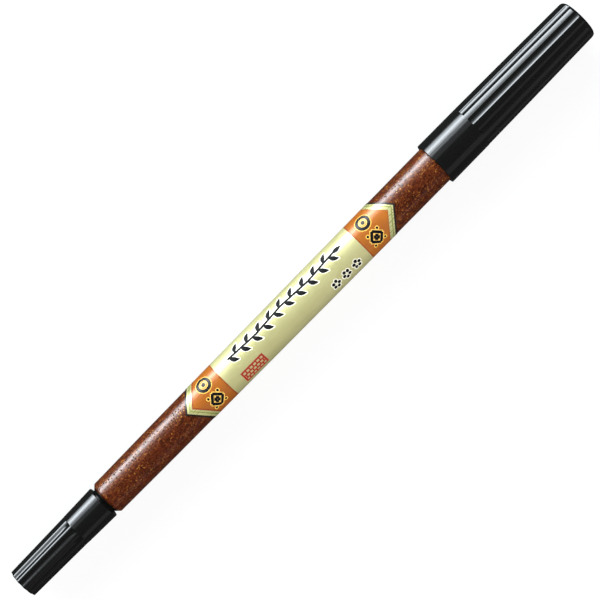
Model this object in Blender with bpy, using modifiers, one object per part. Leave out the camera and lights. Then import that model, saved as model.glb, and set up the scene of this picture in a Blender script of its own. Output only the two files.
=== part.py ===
"""Twin-ended calligraphy brush pen, modelled as the separate pieces it is pressed together from.

The capped pen lies along X. The broad brush points to +X, the fine tip to -X, and the
front of the label faces +Z. Every station below is a distance along the pen's axis, in
millimetres from the middle of the capped pen, and every radius is in millimetres.
"""

import math

import bmesh
import bpy
from mathutils import Matrix

MM = 0.001
TURN_STEPS = 44
HALF_STEP = math.pi / TURN_STEPS
MERGE = 1e-6

# Clearances between pieces that touch.
PRESS_GAP = 0.03
SEAT_GAP = 0.04
SLIDE_GAP = 0.08

# Capped pen.
BROAD_END = 89.0
FINE_END = -89.0

# Barrel: (station, outer radius) from the fine end's chamfer to the broad end.
BARREL_TAPER = ((-61.8, 4.29), (-44.0, 4.46), (28.7, 4.78), (49.0, 4.83))
BARREL_FINE_FACE = -62.2
BARREL_FINE_FACE_RADIUS = 3.90
BARREL_BORE = 3.62
BARREL_FINE_BORE = 3.20
BARREL_BROAD_BORE = 3.85
BARREL_BORE_STEP_FINE = -52.4
BARREL_BORE_STEP_BROAD = 37.0

# Label: a thin sleeve whose ends run to a point on the front and the back. It is turned a
# few degrees from the front towards +Y.
LABEL_FINE_TIP = -36.2
LABEL_BROAD_TIP = 30.1
LABEL_END_SLOPE = 0.85
LABEL_GAP = 0.01
LABEL_THICKNESS = 0.06
LABEL_TURN = -4.5
LABEL_CUTTER_SIZE = 24.0

# Ink reservoir.
RESERVOIR_FINE_END = -51.9
RESERVOIR_BROAD_END = 36.6
RESERVOIR_RADIUS = 3.40
FILM_THICKNESS = 0.08
FILM_OVERHANG = 0.3

# Fine section: collar cone, neck for the cap, and nose cone.
COLLAR_RADIUS = 3.86
COLLAR_FRONT = -63.0
NECK_RADIUS = 3.14
NECK_BEAD_STATION = -66.4
NECK_BEAD_HEIGHT = 0.05
NECK_BEAD_LENGTH = 0.8
NECK_END = -69.0
FINE_NOSE_SHOULDER_RADIUS = 2.10
FINE_NOSE_CONE_START = -71.2
FINE_NOSE_TIP = -76.5
FINE_NOSE_TIP_RADIUS = 1.35
FINE_SECTION_BACK = -52.6
FINE_SECTION_BORE = 1.42

# Fine nib and the sleeve that holds it.
NIB_ROD_RADIUS = 0.85
NIB_TAIL = -45.5
NIB_TAIL_HOLE_END = -45.0
NIB_TAPER_START = -77.6
NIB_TIP = -83.0
NIB_TIP_RADIUS = 0.22
NIB_SLEEVE_FRONT = -74.6
NIB_SLEEVE_BACK = -55.0
NIB_SLEEVE_FLANGE_RADIUS = 1.90
NIB_SLEEVE_FLANGE_LENGTH = 1.2

# Broad section: plug, flange against the barrel, neck for the liner, and nose cone.
BROAD_PLUG_BACK = 38.0
BROAD_FLANGE_RADIUS = 4.55
BROAD_FLANGE_LENGTH = 1.3
BROAD_NECK_RADIUS = 4.15
BROAD_NECK_END = 56.2
SEAL_RADIUS = 3.84
SEAL_END = 58.6
BROAD_NOSE_TIP = 64.0
BROAD_NOSE_TIP_RADIUS = 2.80
BROAD_SECTION_BORE = 3.10
BRUSH_SEAT = 56.7
BRUSH_OPENING_RADIUS = 2.38

# Brush head and what feeds it.
BRUSH_ROOT_RADIUS = 3.0
BRUSH_ROOT_LENGTH = 1.2
BRUSH_STEM_RADIUS = 2.30
BRUSH_BELLY_STATION = 66.5
BRUSH_BELLY_RADIUS = 2.42
BRUSH_TIP = 79.5
BRUSH_TIP_RADIUS = 0.12
CLAMP_RING_LENGTH = 1.8
CLAMP_RING_BORE = 1.30
FEED_TUBE_BACK = 39.0
FEED_TUBE_BORE = 0.95
FEED_TUBE_BARREL_RADIUS = 1.80
FEED_TUBE_RIB_LENGTH = 1.5
WICK_RADIUS = 0.90
WICK_BACK = 29.5
WICK_HOLE_END = 29.0

# Broad cap.
BROAD_CAP_MOUTH = 42.97
BROAD_CAP_TAPER = ((43.2, 5.62), (55.2, 5.56), (74.0, 5.37), (88.1, 5.19))
BROAD_CAP_CORNER = 0.9
BROAD_CAP_SHOULDER = 54.7
BROAD_CAP_BORE_STEP = 52.5
BROAD_CAP_BORE_END = 87.8
BROAD_CAP_LINER_BORE = (4.62, 4.34)

# Fine cap.
FINE_CAP_MOUTH = -63.26
FINE_CAP_TAPER = ((-63.5, 4.22), (-64.4, 4.18), (-72.3, 4.00), (-88.8, 3.72))
FINE_CAP_SHOULDER = -71.8
FINE_CAP_BORE_STEP = -69.4
FINE_CAP_BORE_END = -87.8
FINE_CAP_LINER_BORE = (3.02, 2.86)

# Flutes of both caps: angle is measured from the front, turning towards -Y.
FLUTE_COUNT = 11
BROAD_FLUTE = {"depth": 0.28, "radius": 1.94, "angle": 22.0}
FINE_FLUTE = {"depth": 0.26, "radius": 1.38, "angle": -1.5}
FLUTE_CUTTER_STEPS = 28
FLUTE_RUN_OUT = 1.0

# Liners of the caps.
LINER_WALL = 0.6
BROAD_LINER_MOUTH = 57.0
BROAD_LINER_END = 87.4
FINE_LINER_MOUTH = -69.9
FINE_LINER_END = -87.4


def clear_scene():
    """Remove the objects that a new scene starts with."""
    for old in list(bpy.data.objects):
        bpy.data.objects.remove(old, do_unlink=True)


def new_collection(name):
    """Return a new collection linked to the scene."""
    collection = bpy.data.collections.new(name)
    bpy.context.scene.collection.children.link(collection)
    return collection


def new_material(name, colour, roughness, metallic=0.0):
    """Return a Principled material with one colour."""
    material = bpy.data.materials.new(name)
    material.use_nodes = True
    shader = material.node_tree.nodes["Principled BSDF"]
    shader.inputs["Base Color"].default_value = (*colour, 1.0)
    shader.inputs["Roughness"].default_value = roughness
    shader.inputs["Metallic"].default_value = metallic
    material.diffuse_color = (*colour, 1.0)
    return material


def radius_on(taper, station):
    """Return the radius of a taper at a station between its points."""
    points = sorted(taper)
    for (low, low_radius), (high, high_radius) in zip(points, points[1:]):
        if station <= high:
            share = (station - low) / (high - low)
            return low_radius + share * (high_radius - low_radius)
    return points[-1][1]


def corner(station, radius, size, start, end, steps=4):
    """Return points of a round corner, with angles in degrees from +X towards larger radius."""
    points = []
    for index in range(steps + 1):
        angle = math.radians(start + (end - start) * index / steps)
        points.append((station + size * math.cos(angle), radius + size * math.sin(angle)))
    return points


def profile_object(name, profile, closed, origin, pen, collection):
    """Make the open or closed outline that a turned piece is spun from."""
    mesh = bpy.data.meshes.new(name)
    outline = bmesh.new()
    corners = [outline.verts.new((radius * MM, 0.0, (station - origin) * MM))
               for station, radius in profile]
    for first, second in zip(corners, corners[1:]):
        outline.edges.new((first, second))
    if closed:
        outline.edges.new((corners[-1], corners[0]))
    outline.to_mesh(mesh)
    outline.free()
    piece = bpy.data.objects.new(name, mesh)
    collection.objects.link(piece)
    piece.parent = pen
    piece.location = (0.0, 0.0, origin * MM)
    piece.rotation_euler = (0.0, 0.0, HALF_STEP)
    return piece


def turned(name, profile, material, pen, collection, origin=0.0, closed=False):
    """Spin a profile about the pen's axis.

    A profile runs from its broad end to its fine end on the outside. A closed one is a
    ring's section, and an open one starts and ends on the axis.
    """
    piece = profile_object(name, profile, closed, origin, pen, collection)
    spin = piece.modifiers.new("Turn", "SCREW")
    spin.axis = "Z"
    spin.angle = math.tau
    spin.steps = TURN_STEPS
    spin.render_steps = TURN_STEPS
    spin.use_merge_vertices = True
    spin.merge_threshold = MERGE
    spin.use_smooth_shade = True
    piece.data.materials.append(material)
    return piece


def cut(piece, cutter):
    """Subtract a cutter from a piece."""
    boolean = piece.modifiers.new(cutter.name, "BOOLEAN")
    boolean.operation = "DIFFERENCE"
    boolean.solver = "EXACT"
    boolean.object = cutter


def hide_cutter(cutter, cutters):
    """Keep a cutter in the cutters' collection, out of the render."""
    cutters.objects.link(cutter)
    cutter.hide_render = True
    cutter.display_type = "WIRE"


def flute_cutter(name, taper, shoulder, end, flute, cutters):
    """Make one rod for each flute, tilted to follow the cap's taper."""
    shoulder_radius = radius_on(taper, shoulder)
    end_radius = radius_on(taper, end)
    side = 1.0 if end > shoulder else -1.0
    far_end = end + side * FLUTE_RUN_OUT
    middle = (shoulder + far_end) / 2
    slope = math.atan2(shoulder_radius - end_radius, end - shoulder)
    if side < 0:
        slope -= math.pi
    middle_radius = shoulder_radius - math.tan(slope) * (middle - shoulder)
    offset = middle_radius - flute["depth"] + flute["radius"]
    rods = bmesh.new()
    for index in range(FLUTE_COUNT):
        turn = math.radians(flute["angle"]) + math.tau * index / FLUTE_COUNT
        place = (Matrix.Rotation(turn, 4, "X")
                 @ Matrix.Translation((middle * MM, 0.0, offset * MM))
                 @ Matrix.Rotation(math.pi / 2 + slope, 4, "Y"))
        bmesh.ops.create_cone(rods, cap_ends=True, segments=FLUTE_CUTTER_STEPS,
                              radius1=flute["radius"] * MM, radius2=flute["radius"] * MM,
                              depth=abs(far_end - shoulder) * MM, matrix=place)
    mesh = bpy.data.meshes.new(name)
    rods.to_mesh(mesh)
    rods.free()
    cutter = bpy.data.objects.new(name, mesh)
    hide_cutter(cutter, cutters)
    return cutter


def label_end_cutter(name, tip, side, flank, cutters):
    """Make the slanted block that cuts one flank of one end of the label."""
    angle = math.atan(LABEL_END_SLOPE)
    place = (Matrix.Rotation(math.radians(LABEL_TURN), 4, "X")
             @ Matrix.Translation((tip * MM, 0.0, 0.0))
             @ Matrix.Rotation(flank * angle, 4, "Z")
             @ Matrix.Translation((side * LABEL_CUTTER_SIZE / 2 * MM, 0.0, 0.0)))
    block = bmesh.new()
    bmesh.ops.create_cube(block, size=LABEL_CUTTER_SIZE * MM, matrix=place)
    mesh = bpy.data.meshes.new(name)
    block.to_mesh(mesh)
    block.free()
    cutter = bpy.data.objects.new(name, mesh)
    hide_cutter(cutter, cutters)
    return cutter


def build_barrel(pen, parts, material):
    """Brown tube: one bore for the reservoir and a press bore at each end."""
    outside = [(BARREL_TAPER[-1][0], BARREL_TAPER[-1][1] - 0.15),
               (BARREL_TAPER[-1][0] - 0.15, BARREL_TAPER[-1][1])]
    outside += list(reversed(BARREL_TAPER))[1:]
    outside.append((BARREL_FINE_FACE, BARREL_FINE_FACE_RADIUS))
    inside = [(BARREL_FINE_FACE, BARREL_FINE_BORE),
              (BARREL_BORE_STEP_FINE, BARREL_FINE_BORE),
              (BARREL_BORE_STEP_FINE, BARREL_BORE),
              (BARREL_BORE_STEP_BROAD, BARREL_BORE),
              (BARREL_BORE_STEP_BROAD, BARREL_BROAD_BORE),
              (BARREL_TAPER[-1][0], BARREL_BROAD_BORE)]
    return turned("barrel", outside + inside, material, pen, parts, closed=True)


def build_label(pen, parts, cutters, material):
    """Thin printed sleeve that follows the barrel's taper."""
    margin = 0.5
    ends = (LABEL_BROAD_TIP + margin, LABEL_FINE_TIP - margin)
    stations = [ends[0], BARREL_TAPER[2][0], ends[1]]
    inside = [(station, radius_on(BARREL_TAPER, station) + LABEL_GAP) for station in stations]
    outside = [(station, radius + LABEL_THICKNESS) for station, radius in inside]
    label = turned("label", outside + inside[::-1], material, pen, parts, closed=True)
    for end, tip, side in (("broad", LABEL_BROAD_TIP, 1), ("fine", LABEL_FINE_TIP, -1)):
        for flank in (1, -1):
            name = f"label_{end}_end_cut_{'left' if flank > 0 else 'right'}"
            cut(label, label_end_cutter(name, tip, side, flank, cutters))
    return label


def build_reservoir(pen, parts, core_material, film_material):
    """Fibre bundle with a hole for the tail of each feed, in its thin wrap."""
    wick_hole = WICK_RADIUS + PRESS_GAP
    nib_hole = NIB_ROD_RADIUS + PRESS_GAP
    core_profile = [(WICK_HOLE_END, 0.0), (WICK_HOLE_END, wick_hole),
                    (RESERVOIR_BROAD_END, wick_hole),
                    (RESERVOIR_BROAD_END, RESERVOIR_RADIUS),
                    (RESERVOIR_FINE_END, RESERVOIR_RADIUS),
                    (RESERVOIR_FINE_END, nib_hole),
                    (NIB_TAIL_HOLE_END, nib_hole), (NIB_TAIL_HOLE_END, 0.0)]
    core = turned("reservoir_core", core_profile, core_material, pen, parts)
    inner = RESERVOIR_RADIUS + PRESS_GAP
    outer = inner + FILM_THICKNESS
    broad_end = RESERVOIR_BROAD_END + FILM_OVERHANG
    fine_end = RESERVOIR_FINE_END - FILM_OVERHANG
    film_profile = [(broad_end, outer), (fine_end, outer), (fine_end, inner), (broad_end, inner)]
    film = turned("reservoir_film", film_profile, film_material, pen, parts, closed=True)
    return core, film


def build_fine_section(pen, parts, material):
    """Black nose piece: plug, collar cone, neck with a snap bead, and nose cone."""
    plug = BARREL_FINE_BORE - PRESS_GAP
    collar_back = BARREL_FINE_FACE - SEAT_GAP
    bead = NECK_RADIUS + NECK_BEAD_HEIGHT
    outside = [(FINE_SECTION_BACK, plug - 0.2), (FINE_SECTION_BACK - 0.2, plug),
               (collar_back, plug), (collar_back, COLLAR_RADIUS),
               (COLLAR_FRONT, NECK_RADIUS),
               (NECK_BEAD_STATION + NECK_BEAD_LENGTH / 2, NECK_RADIUS),
               (NECK_BEAD_STATION, bead),
               (NECK_BEAD_STATION - NECK_BEAD_LENGTH / 2, NECK_RADIUS),
               (NECK_END + 0.4, NECK_RADIUS), (NECK_END, NECK_RADIUS - 0.3),
               (NECK_END, FINE_NOSE_SHOULDER_RADIUS),
               (FINE_NOSE_CONE_START, FINE_NOSE_SHOULDER_RADIUS),
               (FINE_NOSE_TIP, FINE_NOSE_TIP_RADIUS)]
    opening = NIB_ROD_RADIUS + SLIDE_GAP
    flange_seat = NIB_SLEEVE_BACK - NIB_SLEEVE_FLANGE_LENGTH - SEAT_GAP
    flange_bore = NIB_SLEEVE_FLANGE_RADIUS + PRESS_GAP
    inside = [(FINE_NOSE_TIP, opening), (NIB_SLEEVE_FRONT - SEAT_GAP, opening),
              (NIB_SLEEVE_FRONT - SEAT_GAP, FINE_SECTION_BORE),
              (flange_seat, FINE_SECTION_BORE), (flange_seat, flange_bore),
              (FINE_SECTION_BACK, flange_bore)]
    return turned("fine_section", outside + inside, material, pen, parts, closed=True)


def build_fine_nib(pen, parts, nib_material, sleeve_material):
    """Porous rod with a drawn-out tip, and the flanged sleeve round it."""
    nib_profile = [(NIB_TAIL, 0.0), (NIB_TAIL, NIB_ROD_RADIUS * 0.8),
                   (NIB_TAIL - 0.4, NIB_ROD_RADIUS),
                   (NIB_TAPER_START, NIB_ROD_RADIUS),
                   (NIB_TIP + NIB_TIP_RADIUS, NIB_TIP_RADIUS)]
    nib_profile += corner(NIB_TIP + NIB_TIP_RADIUS, 0.0, NIB_TIP_RADIUS, 90, 180, 3)[1:-1]
    nib_profile.append((NIB_TIP, 0.0))
    nib = turned("fine_nib", nib_profile, nib_material, pen, parts)
    outer = FINE_SECTION_BORE - PRESS_GAP
    inner = NIB_ROD_RADIUS + PRESS_GAP
    flange_front = NIB_SLEEVE_BACK - NIB_SLEEVE_FLANGE_LENGTH
    sleeve_profile = [(NIB_SLEEVE_BACK, NIB_SLEEVE_FLANGE_RADIUS),
                      (flange_front, NIB_SLEEVE_FLANGE_RADIUS), (flange_front, outer),
                      (NIB_SLEEVE_FRONT, outer), (NIB_SLEEVE_FRONT, inner),
                      (NIB_SLEEVE_BACK, inner)]
    sleeve = turned("fine_nib_sleeve", sleeve_profile, sleeve_material, pen, parts, closed=True)
    return nib, sleeve


def build_broad_section(pen, parts, material):
    """Black nose piece that closes the barrel and seats the brush root."""
    plug = BARREL_BROAD_BORE - PRESS_GAP
    flange_back = BARREL_TAPER[-1][0] + SEAT_GAP
    flange_front = flange_back + BROAD_FLANGE_LENGTH
    outside = [(BROAD_NOSE_TIP, BROAD_NOSE_TIP_RADIUS), (SEAL_END, SEAL_RADIUS),
               (BROAD_NECK_END, SEAL_RADIUS), (BROAD_NECK_END - 0.3, BROAD_NECK_RADIUS),
               (flange_front, BROAD_NECK_RADIUS), (flange_front, BROAD_FLANGE_RADIUS),
               (flange_back, BROAD_FLANGE_RADIUS), (flange_back, plug),
               (BROAD_PLUG_BACK + 0.2, plug), (BROAD_PLUG_BACK, plug - 0.2)]
    inside = [(BROAD_PLUG_BACK, BROAD_SECTION_BORE), (BRUSH_SEAT, BROAD_SECTION_BORE),
              (BRUSH_SEAT, BRUSH_OPENING_RADIUS), (BROAD_NOSE_TIP, BRUSH_OPENING_RADIUS)]
    return turned("broad_section", outside + inside, material, pen, parts, closed=True)


def build_brush(pen, parts, brush_material, ring_material, tube_material, wick_material):
    """Filament head with a fused root, its clamp ring, and the wick in its tube."""
    root_front = BRUSH_SEAT - SEAT_GAP
    root_back = root_front - BRUSH_ROOT_LENGTH
    belly_steps = 6
    brush_profile = [(BRUSH_TIP, 0.0), (BRUSH_TIP, BRUSH_TIP_RADIUS)]
    for index in range(1, belly_steps + 1):
        share = index / belly_steps
        station = BRUSH_TIP + (BRUSH_BELLY_STATION - BRUSH_TIP) * share
        swell = math.sin(share * math.pi / 2) ** 0.9
        brush_profile.append((station, BRUSH_TIP_RADIUS + (BRUSH_BELLY_RADIUS - BRUSH_TIP_RADIUS) * swell))
    brush_profile += [(BROAD_NOSE_TIP + 0.2, BRUSH_STEM_RADIUS), (root_front, BRUSH_STEM_RADIUS),
                      (root_front, BRUSH_ROOT_RADIUS), (root_back, BRUSH_ROOT_RADIUS),
                      (root_back, 0.0)]
    brush = turned("brush_head", brush_profile, brush_material, pen, parts)

    outer = BROAD_SECTION_BORE - PRESS_GAP
    ring_front = root_back - SEAT_GAP
    ring_back = ring_front - CLAMP_RING_LENGTH
    ring_profile = [(ring_front, outer), (ring_back, outer),
                    (ring_back, CLAMP_RING_BORE), (ring_front, CLAMP_RING_BORE)]
    ring = turned("brush_clamp_ring", ring_profile, ring_material, pen, parts, closed=True)

    tube_front = ring_back - SEAT_GAP
    rib_end = tube_front - FEED_TUBE_RIB_LENGTH
    rib_start = FEED_TUBE_BACK + FEED_TUBE_RIB_LENGTH
    tube_profile = [(tube_front, outer), (rib_end, outer), (rib_end, FEED_TUBE_BARREL_RADIUS),
                    (rib_start, FEED_TUBE_BARREL_RADIUS), (rib_start, outer),
                    (FEED_TUBE_BACK, outer), (FEED_TUBE_BACK, FEED_TUBE_BORE),
                    (tube_front, FEED_TUBE_BORE)]
    tube = turned("brush_feed_tube", tube_profile, tube_material, pen, parts, closed=True)

    wick_front = root_back - SEAT_GAP
    wick_profile = [(wick_front, 0.0), (wick_front, WICK_RADIUS),
                    (WICK_BACK, WICK_RADIUS), (WICK_BACK, 0.0)]
    wick = turned("brush_feed_wick", wick_profile, wick_material, pen, parts)
    return brush, ring, tube, wick


def build_broad_cap(body, parts, cutters, material):
    """Thick cap: smooth skirt, fluted end, and a bore stepped for its liner."""
    mouth_bore = BARREL_TAPER[-1][1] + SLIDE_GAP
    end_radius = BROAD_CAP_TAPER[-1][1]
    outside = [(BROAD_END, 0.0)]
    outside += corner(BROAD_END - BROAD_CAP_CORNER, end_radius - BROAD_CAP_CORNER,
                      BROAD_CAP_CORNER, 0, 90)
    outside += list(reversed(BROAD_CAP_TAPER))[1:]
    outside += [(BROAD_CAP_MOUTH, BROAD_CAP_TAPER[0][1] - 0.23)]
    inside = [(BROAD_CAP_MOUTH, mouth_bore), (BROAD_CAP_BORE_STEP, mouth_bore),
              (BROAD_CAP_BORE_STEP, BROAD_CAP_LINER_BORE[0]),
              (BROAD_CAP_BORE_END, BROAD_CAP_LINER_BORE[1]), (BROAD_CAP_BORE_END, 0.0)]
    cap = turned("broad_cap", outside + inside, material, body, parts, origin=BROAD_CAP_MOUTH)
    cut(cap, flute_cutter("broad_cap_flute_cut", BROAD_CAP_TAPER, BROAD_CAP_SHOULDER,
                          BROAD_END, BROAD_FLUTE, cutters))
    return cap


def build_fine_cap(body, parts, cutters, material):
    """Slim cap: smooth skirt with a small lip, fluted end, and a bore stepped for its liner."""
    mouth_bore = NECK_RADIUS + NECK_BEAD_HEIGHT + SLIDE_GAP
    inside = [(FINE_CAP_BORE_END, 0.0), (FINE_CAP_BORE_END, FINE_CAP_LINER_BORE[1]),
              (FINE_CAP_BORE_STEP, FINE_CAP_LINER_BORE[0]), (FINE_CAP_BORE_STEP, mouth_bore),
              (FINE_CAP_MOUTH, mouth_bore)]
    outside = [(FINE_CAP_MOUTH, FINE_CAP_TAPER[0][1] - 0.2)] + list(FINE_CAP_TAPER)
    outside += [(FINE_END, FINE_CAP_TAPER[-1][1] - 0.2), (FINE_END, 0.0)]
    cap = turned("fine_cap", inside + outside, material, body, parts, origin=FINE_CAP_MOUTH)
    cut(cap, flute_cutter("fine_cap_flute_cut", FINE_CAP_TAPER, FINE_CAP_SHOULDER,
                          FINE_END, FINE_FLUTE, cutters))
    return cap


def build_liners(broad_body, fine_body, parts, material):
    """Sealing cup pressed into each cap."""
    bore = ((BROAD_CAP_BORE_STEP, BROAD_CAP_LINER_BORE[0]), (BROAD_CAP_BORE_END, BROAD_CAP_LINER_BORE[1]))
    mouth = radius_on(bore, BROAD_LINER_MOUTH) - PRESS_GAP
    end = radius_on(bore, BROAD_LINER_END) - PRESS_GAP
    profile = [(BROAD_LINER_END, 0.0), (BROAD_LINER_END, end), (BROAD_LINER_MOUTH, mouth),
               (BROAD_LINER_MOUTH, mouth - LINER_WALL),
               (BROAD_LINER_END - LINER_WALL, end - LINER_WALL),
               (BROAD_LINER_END - LINER_WALL, 0.0)]
    broad_liner = turned("broad_inner_cap", profile, material, broad_body, parts,
                         origin=BROAD_CAP_MOUTH)
    bore = ((FINE_CAP_BORE_STEP, FINE_CAP_LINER_BORE[0]), (FINE_CAP_BORE_END, FINE_CAP_LINER_BORE[1]))
    mouth = radius_on(bore, FINE_LINER_MOUTH) - PRESS_GAP
    end = radius_on(bore, FINE_LINER_END) - PRESS_GAP
    profile = [(FINE_LINER_END + LINER_WALL, 0.0), (FINE_LINER_END + LINER_WALL, end - LINER_WALL),
               (FINE_LINER_MOUTH, mouth - LINER_WALL), (FINE_LINER_MOUTH, mouth),
               (FINE_LINER_END, end), (FINE_LINER_END, 0.0)]
    fine_liner = turned("fine_inner_cap", profile, material, fine_body, parts,
                        origin=FINE_CAP_MOUTH)
    return broad_liner, fine_liner


def new_body(name, collection, parent=None):
    """Return an empty on the pen's axis that pieces are parented to."""
    body = bpy.data.objects.new(name, None)
    collection.objects.link(body)
    body.parent = parent
    return body


def build_pen():
    """Build every piece of the pen."""
    clear_scene()
    parts = new_collection("calligraphy_marker")
    cutters = new_collection("cutters")
    pen = new_body("pen_axis", parts)
    pen.rotation_euler = (0.0, math.pi / 2, 0.0)
    broad_body = new_body("broad_cap_axis", parts, pen)
    fine_body = new_body("fine_cap_axis", parts, pen)

    brown = new_material("brown_burl_plastic", (0.15, 0.045, 0.02), 0.3)
    foil = new_material("printed_foil", (0.62, 0.52, 0.26), 0.4, 0.2)
    black = new_material("black_gloss_plastic", (0.012, 0.012, 0.011), 0.22)
    clear = new_material("clear_film", (0.8, 0.84, 0.86), 0.2)
    fibre = new_material("ink_fibre", (0.02, 0.02, 0.025), 0.9)
    bristle = new_material("brush_filament", (0.05, 0.05, 0.055), 0.5)
    pale = new_material("pale_plastic", (0.75, 0.75, 0.72), 0.4)
    felt = new_material("nib_fibre", (0.04, 0.04, 0.045), 0.8)

    build_barrel(pen, parts, brown)
    build_label(pen, parts, cutters, foil)
    build_reservoir(pen, parts, fibre, clear)
    build_fine_section(pen, parts, black)
    build_fine_nib(pen, parts, felt, pale)
    build_broad_section(pen, parts, black)
    build_brush(pen, parts, bristle, pale, pale, fibre)
    build_broad_cap(broad_body, parts, cutters, black)
    build_fine_cap(fine_body, parts, cutters, black)
    build_liners(broad_body, fine_body, parts, pale)


build_pen()
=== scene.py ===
"""Looks of a twin-ended calligraphy brush pen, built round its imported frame.

The capped pen lies along X, with the broad brush towards +X, the fine tip towards -X and the
front of the label facing +Z. Stations and radii are millimetres: a station is measured along
the pen from its middle, and a turn is in degrees from the front towards -Y.
"""

import logging
import math
import random
from dataclasses import dataclass
from enum import Enum
from typing import Callable, ClassVar, Iterable, Optional, Sequence

import bmesh
import bpy
from mathutils import Euler, Matrix, Vector


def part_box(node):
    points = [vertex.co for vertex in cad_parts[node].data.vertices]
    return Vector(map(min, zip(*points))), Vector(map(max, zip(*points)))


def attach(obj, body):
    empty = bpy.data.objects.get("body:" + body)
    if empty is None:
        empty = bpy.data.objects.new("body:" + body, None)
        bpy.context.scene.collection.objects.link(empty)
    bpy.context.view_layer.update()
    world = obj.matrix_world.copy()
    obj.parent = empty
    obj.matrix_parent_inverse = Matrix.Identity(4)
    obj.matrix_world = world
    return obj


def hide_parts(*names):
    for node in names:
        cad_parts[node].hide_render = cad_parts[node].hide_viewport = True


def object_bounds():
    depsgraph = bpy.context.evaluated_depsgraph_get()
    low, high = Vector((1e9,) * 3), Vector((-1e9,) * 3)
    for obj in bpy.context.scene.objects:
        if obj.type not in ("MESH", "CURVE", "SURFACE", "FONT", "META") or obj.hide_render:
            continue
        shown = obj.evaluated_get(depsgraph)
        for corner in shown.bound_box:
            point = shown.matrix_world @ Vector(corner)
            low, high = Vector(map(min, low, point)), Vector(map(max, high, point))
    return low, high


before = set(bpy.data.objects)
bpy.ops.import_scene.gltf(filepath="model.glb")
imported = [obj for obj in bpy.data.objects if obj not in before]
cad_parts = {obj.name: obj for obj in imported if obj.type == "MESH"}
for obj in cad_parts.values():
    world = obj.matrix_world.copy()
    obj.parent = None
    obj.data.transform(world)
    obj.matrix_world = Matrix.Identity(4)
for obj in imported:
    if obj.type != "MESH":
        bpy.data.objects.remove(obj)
CAD_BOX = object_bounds()

LOG = logging.getLogger("brush_pen")
MM = 0.001
WELD = 1e-7

Colour = tuple[float, float, float]
Span = tuple[float, float]
Socket = bpy.types.NodeSocket

# Most of a noise pattern's values lie between these two.
MIDDLE: Span = (0.3, 0.7)

# Where a groove's shoulder has corners: shares of its slope, and a step back on the skirt.
SLOPE_SHARES = (1.0, 0.66, 0.33, 0.0)
SKIRT_EDGE = 0.2


class Body(str, Enum):
    """Moving bodies of the pen."""

    PEN = "pen_body"
    BROAD_CAP = "broad_cap_unit"
    FINE_CAP = "fine_cap_unit"


class Slot(str, Enum):
    """Material slots of the stored record."""

    BARREL = "barrel"
    LABEL = "label"
    BLACK = "black_plastic"
    PALE = "pale_plastic"
    FILM = "clear_film"
    FIBRE = "ink_fibre"
    FILAMENT = "brush_filament"
    NIB = "nib_fibre"


class Zone(Enum):
    """Printed areas of the label, in the order of its material slots."""

    OUTLINE = 0
    PALE_GOLD = 1
    OLIVE = 2
    RUSSET = 3
    ORANGE = 4
    CREAM = 5


class StrokeKind(Enum):
    """Shapes that the label's brush marks are made of."""

    LEAF = "leaf"
    BAR = "bar"
    DAB = "dab"


# ---------------------------------------------------------------------------------------
# Material nodes
# ---------------------------------------------------------------------------------------


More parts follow.
